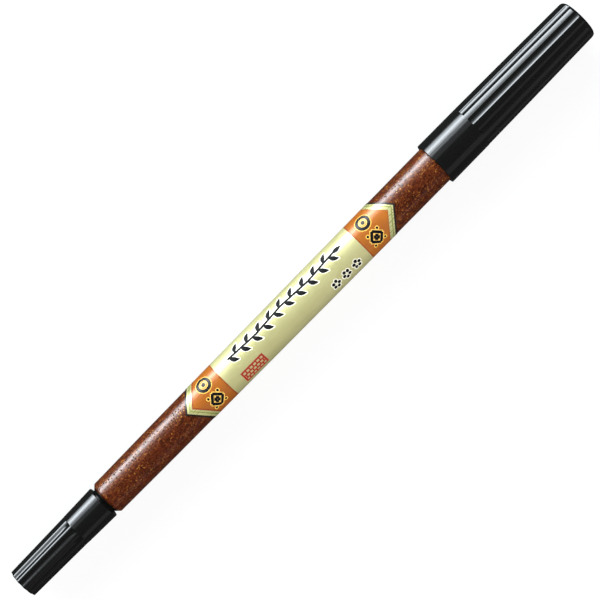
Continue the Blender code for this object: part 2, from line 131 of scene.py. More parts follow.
class NodeBoard:
    """Builds one node material around a Principled shader."""

    def __init__(self, name: str) -> None:
        """Start an empty material.

        Args:
            name: The material's name.
        """
        self.material = bpy.data.materials.new(name)
        self.material.use_nodes = True
        self.tree = self.material.node_tree
        self.shader = self.tree.nodes["Principled BSDF"]

    def node(self, kind: str, **settings: object) -> bpy.types.Node:
        """Add a node.

        Args:
            kind: The node's type name.
            settings: Attributes to set on it.

        Returns:
            The new node.
        """
        made = self.tree.nodes.new(kind)
        for key, value in settings.items():
            setattr(made, key, value)
        return made

    def feed(self, socket: Socket, value: object) -> None:
        """Link a socket to another one, or set its own value.

        Args:
            socket: The input to fill.
            value: An output socket, a number or a tuple.
        """
        if isinstance(value, bpy.types.NodeSocket):
            self.tree.links.new(value, socket)
        else:
            socket.default_value = value

    def place(self, stretch: Sequence[float] = (1.0, 1.0, 1.0)) -> Socket:
        """Give object coordinates in millimetres.

        Args:
            stretch: Scale of the pattern space along each axis.

        Returns:
            The vector output of a Mapping node.
        """
        source = self.node("ShaderNodeTexCoord")
        mapping = self.node("ShaderNodeMapping")
        self.tree.links.new(source.outputs["Object"], mapping.inputs["Vector"])
        mapping.inputs["Scale"].default_value = [s / MM for s in stretch]
        return mapping.outputs["Vector"]

    def noise(self, vector: Socket, scale: float, detail: float = 3.0,
              roughness: float = 0.55, distortion: float = 0.0) -> Socket:
        """Add fractal noise.

        Args:
            vector: Where the pattern is read.
            scale: Number of its features in a unit of the vector.
            detail: Number of finer layers.
            roughness: Strength of the finer layers.
            distortion: How far the pattern is warped.

        Returns:
            The factor output, from 0 to 1.
        """
        made = self.node("ShaderNodeTexNoise")
        self.feed(made.inputs["Vector"], vector)
        made.inputs["Scale"].default_value = scale
        made.inputs["Detail"].default_value = detail
        made.inputs["Roughness"].default_value = roughness
        made.inputs["Distortion"].default_value = distortion
        return made.outputs["Fac"]

    def cells(self, vector: Socket, scale: float) -> Socket:
        """Add a pattern of scattered cells.

        Args:
            vector: Where the pattern is read.
            scale: Number of cells in a unit of the vector.

        Returns:
            The distance from the nearest cell's middle.
        """
        made = self.node("ShaderNodeTexVoronoi", feature="F1")
        self.feed(made.inputs["Vector"], vector)
        made.inputs["Scale"].default_value = scale
        return made.outputs["Distance"]

    def ramp(self, factor: Socket, stops: Sequence[tuple[float, Colour]]) -> Socket:
        """Map a factor to colours.

        Args:
            factor: The value that is mapped.
            stops: Position and colour of each stop, in rising order.

        Returns:
            The colour output.
        """
        made = self.node("ShaderNodeValToRGB")
        band = made.color_ramp
        while len(band.elements) < len(stops):
            band.elements.new(0.5)
        for element, (position, colour) in zip(band.elements, stops):
            element.position = position
            element.color = (*colour, 1.0)
        self.feed(made.inputs["Fac"], factor)
        return made.outputs["Color"]

    def mask(self, factor: Socket, low: float, high: float,
             bottom: float = 0.0, top: float = 1.0) -> Socket:
        """Rescale a factor smoothly between two limits.

        Args:
            factor: The value that is rescaled.
            low: Its lower limit.
            high: Its upper limit.
            bottom: The result at the lower limit and below.
            top: The result at the upper limit and above.

        Returns:
            The rescaled value.
        """
        made = self.node("ShaderNodeMapRange", interpolation_type="SMOOTHSTEP")
        self.feed(made.inputs["Value"], factor)
        made.inputs["From Min"].default_value = low
        made.inputs["From Max"].default_value = high
        made.inputs["To Min"].default_value = bottom
        made.inputs["To Max"].default_value = top
        return made.outputs["Result"]

    def blend(self, factor: object, first: object, second: object) -> Socket:
        """Mix two colours.

        Args:
            factor: Share of the second colour.
            first: Colour, or an output socket that gives one.
            second: The same for the other colour.

        Returns:
            The mixed colour.
        """
        made = self.node("ShaderNodeMix", data_type="RGBA")
        self.feed(made.inputs[0], factor)
        for socket, value in ((made.inputs[6], first), (made.inputs[7], second)):
            self.feed(socket, (*value, 1.0) if isinstance(value, tuple) else value)
        return made.outputs[2]

    def maths(self, operation: str, first: object, second: object) -> Socket:
        """Combine two values.

        Args:
            operation: Name of the sum.
            first: Number, or an output socket that gives one.
            second: The same for the other value.

        Returns:
            The result.
        """
        made = self.node("ShaderNodeMath", operation=operation)
        self.feed(made.inputs[0], first)
        self.feed(made.inputs[1], second)
        return made.outputs[0]

    def station(self, vector: Socket) -> Socket:
        """Read the place along the pen.

        Args:
            vector: Object coordinates.

        Returns:
            The vector's first value.
        """
        made = self.node("ShaderNodeSeparateXYZ")
        self.feed(made.inputs["Vector"], vector)
        return made.outputs["X"]

    def bump(self, height: Socket, depth: float, under: Optional[Socket] = None) -> Socket:
        """Turn a height into a normal.

        Args:
            height: The height, from 0 to 1.
            depth: What a height of 1 stands for, in millimetres.
            under: A normal that this one is laid over.

        Returns:
            The normal output.
        """
        made = self.node("ShaderNodeBump")
        made.inputs["Strength"].default_value = 1.0
        made.inputs["Distance"].default_value = depth * MM
        self.feed(made.inputs["Height"], height)
        if under is not None:
            self.feed(made.inputs["Normal"], under)
        return made.outputs["Normal"]

    def dress(self, **values: object) -> bpy.types.Material:
        """Fill the shader's inputs.

        Args:
            values: Input names with underscores for spaces, and what goes in each.

        Returns:
            The finished material.
        """
        for key, value in values.items():
            if isinstance(value, tuple) and len(value) == 3:
                value = (*value, 1.0)
            self.feed(self.shader.inputs[key.replace("_", " ")], value)
        return self.material


# ---------------------------------------------------------------------------------------
# Finishes
# ---------------------------------------------------------------------------------------


@dataclass(frozen=True)
class BurlLacquer:
    """Brown burl print with a pearly depth, under a clear coat that has fine pits.

    Sizes are millimetres. A span is the lowest and the highest value that a mask fades over.
    """

    deep: Colour = (0.022, 0.003, 0.001)
    brown: Colour = (0.086, 0.0125, 0.0025)
    rust: Colour = (0.148, 0.027, 0.005)
    honey: Colour = (0.58, 0.27, 0.040)
    glow: Colour = (1.0, 0.62, 0.24)
    figure_scale: float = 1.1
    figure_stops: tuple[float, float, float, float] = (0.36, 0.48, 0.58, 0.69)
    eye_size: float = 1.5
    eye_span: Span = (0.05, 0.36)
    eye_share: float = 0.75
    fleck_size: float = 0.75
    fleck_span: Span = (0.10, 0.30)
    fleck_patch_scale: float = 0.5
    fleck_patch_span: Span = (0.45, 0.62)
    fleck_share: float = 0.66
    cloud_scale: float = 0.16
    cloud_span: Span = (0.42, 0.66)
    cloud_share: float = 0.45
    pit_size: float = 0.62
    pit_span: Span = (0.24, 0.42)
    pit_patch_scale: float = 0.20
    pit_patch_span: Span = (0.42, 0.54)
    # Share of painted shade laid into the pits: they are darkened towards deep brown in the colour,
    # not only by their bump and missing coat.
    pit_shade_share: float = 0.95
    pit_depth: float = 0.022
    grain_scale: float = 3.2
    grain_depth: float = 0.14
    skin_scale: float = 0.9
    pearl_span: Span = (0.26, 0.88)
    rough_span: Span = (0.33, 0.44)

    def print_burl(self, board: NodeBoard, fine: Socket) -> tuple[Socket, Socket]:
        """Make the printed burl under the coat.

        Args:
            board: The material.
            fine: Object coordinates.

        Returns:
            The colour, and a mask of its bright flecks.
        """
        along = board.place(stretch=(0.8, 1.0, 1.0))
        figure = board.noise(along, self.figure_scale, detail=5.0, roughness=0.72, distortion=2.0)
        tones = (self.deep, self.brown, self.rust, self.honey)
        wood = board.ramp(figure, list(zip(self.figure_stops, tones)))
        eyes = board.mask(board.cells(along, 1.0 / self.eye_size), *self.eye_span,
                          self.eye_share, 0.0)
        wood = board.blend(eyes, wood, self.deep)
        spots = board.mask(board.cells(fine, 1.0 / self.fleck_size), *self.fleck_span, 1.0, 0.0)
        patch = board.mask(board.noise(fine, self.fleck_patch_scale), *self.fleck_patch_span)
        flecks = board.maths("MULTIPLY", spots, patch)
        wood = board.blend(board.maths("MULTIPLY", flecks, self.fleck_share), wood, self.honey)
        clouds = board.mask(board.noise(along, self.cloud_scale), *self.cloud_span,
                            0.0, self.cloud_share)
        return board.blend(clouds, wood, self.brown), flecks

    def build(self) -> bpy.types.Material:
        """Make the material."""
        board = NodeBoard("burl_lacquer")
        fine = board.place()
        wood, flecks = self.print_burl(board, fine)
        pits = board.mask(board.cells(fine, 1.0 / self.pit_size), *self.pit_span, 1.0, 0.0)
        patch = board.mask(board.noise(fine, self.pit_patch_scale, detail=2.0),
                           *self.pit_patch_span)
        pitted = board.maths("MULTIPLY", pits, patch)
        sound = board.maths("SUBTRACT", 1.0, pitted)
        # Painted shade: the pits' colour is pulled nearly to deep brown, standing in for the dark that
        # a pit shows where the highlight breaks.
        wood = board.blend(board.maths("MULTIPLY", pitted, self.pit_shade_share), wood, self.deep)
        grain = board.noise(fine, self.grain_scale, roughness=0.7)
        skin = board.noise(fine, self.skin_scale, detail=2.0, roughness=0.5)
        height = board.maths("ADD", skin, board.maths("MULTIPLY", sound, 0.5))
        pearl = board.maths("MULTIPLY", sound, board.mask(flecks, 0.0, 0.6, *self.pearl_span))
        return board.dress(Base_Color=wood, Metallic=pearl,
                           Normal=board.bump(grain, self.grain_depth),
                           Specular_IOR_Level=0.25, Specular_Tint=self.glow,
                           Roughness=board.mask(grain, *MIDDLE, *self.rough_span),
                           Coat_Weight=sound, Coat_IOR=1.62, Coat_Roughness=0.15,
                           Coat_Normal=board.bump(height, self.pit_depth))


@dataclass(frozen=True)
class MouldedBlack:
    """Glossy black moulding with faint flow marks, dust and fine rubs."""

    name: str = "moulded_black"
    colour: Colour = (0.0040, 0.0042, 0.0038)
    worn: Colour = (0.035, 0.035, 0.036)
    worn_share: float = 0.12
    dusty: Colour = (0.16, 0.15, 0.14)
    dust_share: float = 0.4
    dust_scale: float = 1.4
    dust_span: Span = (0.018, 0.045)
    gloss: float = 0.12
    rub_length: float = 9.0
    rub_scale: float = 1.6
    rub_span: Span = (0.60, 0.74)
    rub_rough: float = 0.09
    rub_depth: float = 0.0012
    flow_scale: float = 0.22
    peel_scale: float = 1.1
    peel_depth: float = 0.006

    def build(self) -> bpy.types.Material:
        """Make the material."""
        board = NodeBoard(self.name)
        fine = board.place()
        rubs = board.place(stretch=(1.0 / self.rub_length, 2.6, 2.6))
        scratch = board.noise(rubs, self.rub_scale, detail=4.0, roughness=0.75)
        rub_mask = board.mask(scratch, *self.rub_span)
        flow = board.mask(board.noise(fine, self.flow_scale), *MIDDLE,
                          self.gloss - 0.02, self.gloss + 0.03)
        rough = board.maths("ADD", flow, board.maths("MULTIPLY", rub_mask, self.rub_rough))
        dust = board.mask(board.cells(fine, self.dust_scale), *self.dust_span, 0.35, 0.0)
        colour = board.blend(board.maths("MULTIPLY", rub_mask, self.worn_share), self.colour,
                             self.worn)
        colour = board.blend(board.maths("MULTIPLY", dust, self.dust_share), colour, self.dusty)
        peel = board.bump(board.noise(fine, self.peel_scale, detail=2.0), self.peel_depth)
        normal = board.bump(scratch, self.rub_depth, peel)
        return board.dress(Base_Color=colour, Roughness=rough, Normal=normal, IOR=1.56,
                           Specular_IOR_Level=0.75)


@dataclass(frozen=True)
class LabelFoil:
    """Printed film with a faint metallic sheen, a drift of tone and fine rubs."""

    name: str
    colour: Colour
    second: Colour
    metal: float = 0.25
    rough: float = 0.36
    drift_scale: float = 0.09
    drift_span: Span = (0.35, 0.68)
    grain_scale: float = 7.0
    grain_span: Span = (0.52, 0.80)
    grain_share: float = 0.18
    grain_depth: float = 0.0022
    streak_span: Span = (0.56, 0.74)
    streak_share: float = 0.22
    streak_dark: float = 0.78
    wave_scale: float = 0.8
    wave_depth: float = 0.010

    def build(self) -> bpy.types.Material:
        """Make the material."""
        board = NodeBoard(self.name)
        place = board.place()
        tone = board.noise(board.place(stretch=(0.6, 1.0, 1.0)), self.drift_scale, roughness=0.6)
        streak = board.noise(board.place(stretch=(0.25, 3.0, 3.0)), 1.0)
        grain = board.noise(place, self.grain_scale, detail=2.0, roughness=0.7)
        colour = board.blend(board.mask(tone, *self.drift_span), self.colour, self.second)
        colour = board.blend(board.mask(grain, *self.grain_span, 0.0, self.grain_share), colour,
                             self.second)
        darker = tuple(self.streak_dark * part for part in self.colour)
        colour = board.blend(board.mask(streak, *self.streak_span, 0.0, self.streak_share),
                             colour, darker)
        rough = board.mask(streak, 0.35, 0.7, self.rough - 0.04, self.rough + 0.05)
        wave = board.bump(board.noise(place, self.wave_scale), self.wave_depth)
        normal = board.bump(grain, self.grain_depth, wave)
        return board.dress(Base_Color=colour, Roughness=rough, Normal=normal,
                           Metallic=self.metal, IOR=1.5, Coat_Weight=0.7,
                           Coat_Roughness=0.17)


@dataclass(frozen=True)
class PrintInk:
    """Screen-printed ink that thins out in places."""

    name: str
    colour: Colour
    thin: Colour
    rough: float = 0.34
    shine: float = 0.5
    body_scale: float = 1.6
    thin_span: Span = (0.58, 0.82)
    thin_share: float = 0.55
    grain_scale: float = 6.0
    grain_depth: float = 0.003

    def build(self) -> bpy.types.Material:
        """Make the material."""
        board = NodeBoard(self.name)
        place = board.place()
        body = board.noise(place, self.body_scale, detail=4.0, roughness=0.65)
        colour = board.blend(board.mask(body, *self.thin_span, 0.0, self.thin_share),
                             self.colour, self.thin)
        normal = board.bump(board.noise(place, self.grain_scale, detail=2.0), self.grain_depth)
        rough = board.mask(body, *MIDDLE, self.rough, self.rough + 0.12)
        return board.dress(Base_Color=colour, Roughness=rough, Normal=normal, IOR=1.48,
                           Specular_IOR_Level=self.shine)


@dataclass(frozen=True)
class NaturalPlastic:
    """Unpainted pale polypropylene with flow lines and ink near where it seals."""

    name: str
    colour: Colour = (0.70, 0.70, 0.66)
    stain: Colour = (0.05, 0.05, 0.07)
    stain_span: Span = (0.0, 1.0)
    stain_share: float = 0.7
    stain_wander: float = 3.0
    flow_scale: float = 0.8
    flow_span: Span = (0.4, 0.75)
    flow_share: float = 0.3
    flow_dark: float = 0.84
    rough_span: Span = (0.34, 0.46)
    grain_scale: float = 3.0
    grain_depth: float = 0.004

    def build(self) -> bpy.types.Material:
        """Make the material."""
        board = NodeBoard(self.name)
        place = board.place()
        flow = board.noise(board.place(stretch=(0.3, 1.6, 1.6)), self.flow_scale)
        colour = board.blend(board.mask(flow, *self.flow_span, 0.0, self.flow_share), self.colour,
                             tuple(self.flow_dark * part for part in self.colour))
        wander = board.maths("MULTIPLY", board.noise(place, 0.6, detail=4.0), self.stain_wander)
        wet = board.mask(board.maths("ADD", board.station(place), wander), *self.stain_span)
        colour = board.blend(board.maths("MULTIPLY", wet, self.stain_share), colour, self.stain)
        normal = board.bump(board.noise(place, self.grain_scale, detail=2.0), self.grain_depth)
        return board.dress(Base_Color=colour, Normal=normal, IOR=1.49,
                           Roughness=board.mask(flow, *MIDDLE, *self.rough_span),
                           Subsurface_Weight=0.12, Subsurface_Scale=0.4 * MM)


@dataclass(frozen=True)
class SoakedFibre:
    """Fibres that run along the pen and hold black ink."""

    name: str
    dry: Colour = (0.10, 0.10, 0.12)
    wet: Colour = (0.006, 0.006, 0.009)
    strand: float = 0.12
    strand_span: Span = (0.38, 0.68)
    strand_depth: float = 0.35
    soak_scale: float = 0.5
    soak_span: Span = (0.45, 0.65)
    soak_share: float = 0.5
    rough: float = 0.5
    sheen: float = 0.2

    def build(self) -> bpy.types.Material:
        """Make the material."""
        board = NodeBoard(self.name)
        strands = board.place(stretch=(0.06, 1.0, 1.0))
        lay = board.noise(strands, 1.0 / self.strand, detail=2.5, roughness=0.6)
        soak = board.noise(board.place(), self.soak_scale)
        colour = board.blend(board.mask(lay, *self.strand_span), self.wet, self.dry)
        colour = board.blend(board.mask(soak, *self.soak_span, 0.0, self.soak_share), colour,
                             self.wet)
        normal = board.bump(lay, self.strand * self.strand_depth)
        rough = board.mask(lay, *MIDDLE, self.rough - 0.1, self.rough + 0.12)
        return board.dress(Base_Color=colour, Roughness=rough, Normal=normal,
                           Sheen_Weight=self.sheen, Sheen_Roughness=0.4)


@dataclass(frozen=True)
class ClearWrap:
    """Thin clear wrap with creases."""

    tint: Colour = (0.86, 0.90, 0.92)
    crease_scale: float = 0.9
    crease_depth: float = 0.03
    rough_span: Span = (0.08, 0.2)

    def build(self) -> bpy.types.Material:
        """Make the material."""
        board = NodeBoard("clear_wrap")
        crease = board.noise(board.place(stretch=(0.2, 1.0, 1.0)), self.crease_scale, detail=4.0)
        normal = board.bump(crease, self.crease_depth)
        return board.dress(Base_Color=self.tint, Normal=normal,
                           Roughness=board.mask(crease, *MIDDLE, *self.rough_span),
                           Transmission_Weight=0.85, IOR=1.45)


@dataclass(frozen=True)
class PaleFloor:
    """Plain pale ground with a faint mottle."""

    colour: Colour = (0.14, 0.14, 0.14)
    glow: float = 0.83
    mottle_scale: float = 0.02
    mottle_dark: float = 0.985
    mottle_share: float = 0.5

    def build(self) -> bpy.types.Material:
        """Make the material."""
        board = NodeBoard("pale_floor")
        mottle = board.noise(board.place(), self.mottle_scale)
        colour = board.blend(board.mask(mottle, *MIDDLE, 0.0, self.mottle_share), self.colour,
                             tuple(self.mottle_dark * part for part in self.colour))
        return board.dress(Base_Color=colour, Roughness=0.8, Specular_IOR_Level=0.0,
                           Emission_Color=(1.0, 1.0, 1.0), Emission_Strength=self.glow)


# ---------------------------------------------------------------------------------------
# Turned and printed shapes
# ---------------------------------------------------------------------------------------


@dataclass(frozen=True)
class Stop:
    """A corner of a turned profile.

    Attributes:
        station: Place along the pen.
        radius: Distance from the axis.
        soft: How far the corner's rounding reaches along its sides.
    """

    station: float
    radius: float
    soft: float = 0.0


class Lathe:
    """Spins a profile about the pen's axis into a closed, smooth piece."""

    ROUND_STEPS = 4

    def __init__(self, stops: Sequence[Stop], ring: bool, steps: int = 96) -> None:
        """Keep a profile.

        Args:
            stops: Corners in order.
            ring: True for a section that closes on itself, False where both ends lie on
                the axis.
            steps: Number of steps round the axis.
        """
        self.stops = stops
        self.ring = ring
        self.steps = steps

    def spin(self) -> bmesh.types.BMesh:
        """Round the profile's corners and spin it.

        Returns:
            The mesh, with its normals pointing outwards.
        """
        work = bmesh.new()
        corners = [work.verts.new((stop.station * MM, 0.0, stop.radius * MM))
                   for stop in self.stops]
        pairs = list(zip(corners, corners[1:]))
        if self.ring:
            pairs.append((corners[-1], corners[0]))
        for first, second in pairs:
            work.edges.new((first, second))
        for corner, stop in zip(corners, self.stops):
            if stop.soft:
                bmesh.ops.bevel(work, geom=[corner], offset=stop.soft * MM,
                                offset_type="OFFSET", segments=self.ROUND_STEPS,
                                profile=0.5, affect="VERTICES", material=-1)
        bmesh.ops.spin(work, geom=list(work.verts) + list(work.edges), cent=(0.0, 0.0, 0.0),
                       axis=(1.0, 0.0, 0.0), angle=math.tau, steps=self.steps, use_merge=True)
        bmesh.ops.remove_doubles(work, verts=list(work.verts), dist=WELD)
        bmesh.ops.recalc_face_normals(work, faces=list(work.faces))
        return work


def taper_radius(stops: Sequence[Stop], station: float) -> float:
    """Read a tapered outline.

    Args:
        stops: The outline's corners, in rising station.
        station: Where to read it.

    Returns:
        The radius there, held level past either end.
    """
    if station <= stops[0].station:
        return stops[0].radius
    for low, high in zip(stops, stops[1:]):
        if station <= high.station:
            share = (station - low.station) / (high.station - low.station)
            return low.radius + share * (high.radius - low.radius)
    return stops[-1].radius


def soft_lower(first: float, second: float, width: float) -> float:
    """Blend two heights into the lower one.

    Args:
        first: One height.
        second: The other height.
        width: How far apart they are where the fillet between them starts.

    Returns:
        The lower height, with a fillet where the two cross.
    """
    share = min(max(0.5 + 0.5 * (second - first) / width, 0.0), 1.0)
    return second + share * (first - second) - width * share * (1.0 - share)


def ease(share: float) -> float:
    """Return a smooth step from 0 to 1."""
    share = min(max(share, 0.0), 1.0)
    return share * share * (3.0 - 2.0 * share)


def make_piece(work: bmesh.types.BMesh, name: str, body: Body,
               finishes: Iterable[bpy.types.Material], nodes: Sequence[str] = (),
               crease: float = 38.0) -> bpy.types.Object:
    """Turn a mesh into a finished piece that rides on a body.

    Args:
        work: The mesh, which is freed.
        name: The piece's name.
        body: The body it moves with.
        finishes: Its materials, in slot order.
        nodes: CAD nodes that it stands for.
        crease: Edges sharper than this many degrees stay crisp.

    Returns:
        The new object.
    """
    mesh = bpy.data.meshes.new(name)
    work.to_mesh(mesh)
    work.free()
    for finish in finishes:
        mesh.materials.append(finish)
    mesh.shade_smooth()
    mesh.set_sharp_from_angle(angle=math.radians(crease))
    piece = bpy.data.objects.new(name, mesh)
    bpy.context.scene.collection.objects.link(piece)
    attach(piece, body.value)
    if nodes:
        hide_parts(*nodes)
    LOG.info("%s: %d faces on %s", name, len(mesh.polygons), body.value)
    return piece


@dataclass(frozen=True, kw_only=True)
class Grooves:
    """Grooves that run from a shoulder out through a cap's closed end.

    Attributes:
        shoulder: Station where they start.
        side: 1 where the closed end points to +X, or -1.
        depth: Depth at the middle of a groove.
        turn: Angle of one groove's middle.
        run: Length over which the shoulder slopes down.
        keep_under: Radius below which nothing is carved.
        count: Number of grooves.
    """

    shoulder: float
    side: int
    depth: float
    turn: float
    run: float
    keep_under: float
    count: int = 11

    def carved(self, skin: float, radius: float, offset: float, depth_share: float) -> float:
        """Give the radius that a point of the outline moves to.

        Args:
            skin: Radius of the cap's outline.
            radius: Radius of the point.
            offset: Angle from the nearest groove's middle, in radians.
            depth_share: How far the shoulder has sloped down, from 0 to 1.

        Returns:
            The point's new radius.
        """
        raise NotImplementedError

    def shoulder_stations(self) -> list[float]:
        """Return the stations that the shoulder's slope needs, from its foot back to the skirt."""
        steps = [self.shoulder + self.side * self.run * share for share in SLOPE_SHARES]
        return steps + [self.shoulder - self.side * SKIRT_EDGE]

    def carve(self, work: bmesh.types.BMesh, skin: Callable[[float], float]) -> None:
        """Move a cap's outer skin down into the grooves.

        Args:
            work: The cap's mesh.
            skin: Gives the outline's radius at a station.
        """
        pitch = math.tau / self.count
        for corner in work.verts:
            station = corner.co.x / MM
            past = (station - self.shoulder) * self.side
            radius = math.hypot(corner.co.y, corner.co.z) / MM
            if past <= 0.0 or radius < self.keep_under:
                continue
            angle = math.atan2(-corner.co.y, corner.co.z) - math.radians(self.turn)
            offset = (angle + pitch / 2) % pitch - pitch / 2
            factor = self.carved(skin(station), radius, offset, ease(past / self.run)) / radius
            corner.co.y *= factor
            corner.co.z *= factor


@dataclass(frozen=True, kw_only=True)
class Flutes(Grooves):
    """Hollow flutes with a round floor and a narrow land between them.

    Attributes:
        hollow: Radius of the round floor.
        fillet: Rounding of the land's edges.
    """

    hollow: float
    fillet: float

    def floor(self, skin: float, offset: float) -> float:
        """Give a flute's surface.

        Args:
            skin: Radius of the cap's outline.
            offset: Angle from the flute's middle, in radians.

        Returns:
            The radius of the flute there, or a large one outside it.
        """
        reach = skin - self.depth + self.hollow
        inside = self.hollow ** 2 - (reach * math.sin(offset)) ** 2
        return reach * math.cos(offset) - math.sqrt(inside) if inside > 0.0 else 2.0 * skin

    def carved(self, skin: float, radius: float, offset: float, depth_share: float) -> float:
        """Give the radius that a point moves to, on the flute's floor or the land."""
        floor = self.floor(skin, offset) + (1.0 - depth_share) * (self.depth + self.fillet)
        return soft_lower(radius, floor, self.fillet)


@dataclass(frozen=True, kw_only=True)
class Ripples(Grooves):
    """Shallow grooves that roll into rounded ridges, with no flat land between them."""

    def carved(self, skin: float, radius: float, offset: float, depth_share: float) -> float:
        """Give the radius that a point moves to, on a smooth wave."""
        wave = 0.5 + 0.5 * math.cos(self.count * offset)
        return radius - self.depth * wave * depth_share


# ---------------------------------------------------------------------------------------
# Barrel and label
# ---------------------------------------------------------------------------------------


@dataclass
class Barrel:
    """Brown tube that the whole pen is built round."""

    outline: tuple[Stop, ...] = (Stop(-61.8, 4.29), Stop(-44.0, 4.46), Stop(28.7, 4.78),
                                 Stop(49.0, 4.83))
    fine_face: float = 3.90
    fine_bore: float = 3.20
    bore: float = 3.62
    broad_bore: float = 3.85
    fine_step: float = -52.4
    broad_step: float = 37.0
    edge: float = 0.12
    face_edge: float = 0.06
    fine_bore_edge: float = 0.05
    broad_bore_edge: float = 0.2
    steps: int = 144

    def radius_at(self, station: float) -> float:
        """Return the outer radius at a station."""
        return taper_radius(self.outline, station)

    def build(self, finish: bpy.types.Material) -> bpy.types.Object:
        """Build the tube.

        Args:
            finish: Its lacquer.

        Returns:
            The finished piece.
        """
        low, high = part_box("barrel")
        fine_end, broad_end = low[0] / MM, high[0] / MM
        fine, *middle, broad = self.outline
        stops = [Stop(broad_end, broad.radius, self.edge)]
        stops += [Stop(stop.station, stop.radius) for stop in reversed(middle)]
        stops += [Stop(fine.station, fine.radius, self.edge),
                  Stop(fine_end, self.fine_face, self.face_edge),
                  Stop(fine_end, self.fine_bore, self.fine_bore_edge),
                  Stop(self.fine_step, self.fine_bore), Stop(self.fine_step, self.bore),
                  Stop(self.broad_step, self.bore), Stop(self.broad_step, self.broad_bore),
                  Stop(broad_end, self.broad_bore, self.broad_bore_edge)]
        work = Lathe(stops, ring=True, steps=self.steps).spin()
        return make_piece(work, "barrel_tube", Body.PEN, [finish], ["barrel"])


@dataclass(frozen=True)
class Stroke:
    """One mark printed on the label.

    Attributes:
        start: Station and distance round the barrel from the front, where it begins.
        end: The same where it ends.
        width: Its greatest width.
        bow: How far its middle bends aside.
        kind: Its shape.
    """

    start: tuple[float, float]
    end: tuple[float, float]
    width: float
    bow: float = 0.0
    kind: StrokeKind = StrokeKind.LEAF

    TIP_WIDTH: ClassVar[float] = 0.05
    LEAF_LEAN: ClassVar[float] = 0.8
    LEAF_FULLNESS: ClassVar[float] = 0.9

    def swell(self, share: float) -> float:
        """Give the stroke's width at a place along it.

        Args:
            share: The place, from 0 to 1.

        Returns:
            The width there, as a part of the greatest one.
        """
        if self.kind is StrokeKind.BAR:
            return 1.0
        if self.kind is StrokeKind.LEAF:
            wide = math.sin(math.pi * share ** self.LEAF_LEAN) ** self.LEAF_FULLNESS
        else:
            wide = math.sqrt(max(1.0 - (2.0 * share - 1.0) ** 2, 0.0))
        return max(wide, self.TIP_WIDTH)

    def point(self, along: float, across: float, spare: float) -> tuple[float, float]:
        """Give a point of the stroke.

        Args:
            along: Place along the stroke, from 0 to 1.
            across: Place across it, from -1 to 1.
            spare: Extra half-width round the whole stroke.

        Returns:
            Its station and its distance round the barrel.
        """
        first, last = Vector(self.start), Vector(self.end)
        line = last - first
        reach = line.length
        line.normalize()
        side = Vector((-line.y, line.x))
        place = first - line * spare + line * (reach + 2.0 * spare) * along
        bend = 4.0 * along * (1.0 - along) * self.bow
        half = self.width / 2 * self.swell(along) + spare
        place += side * (bend + across * half)
        return place.x, place.y


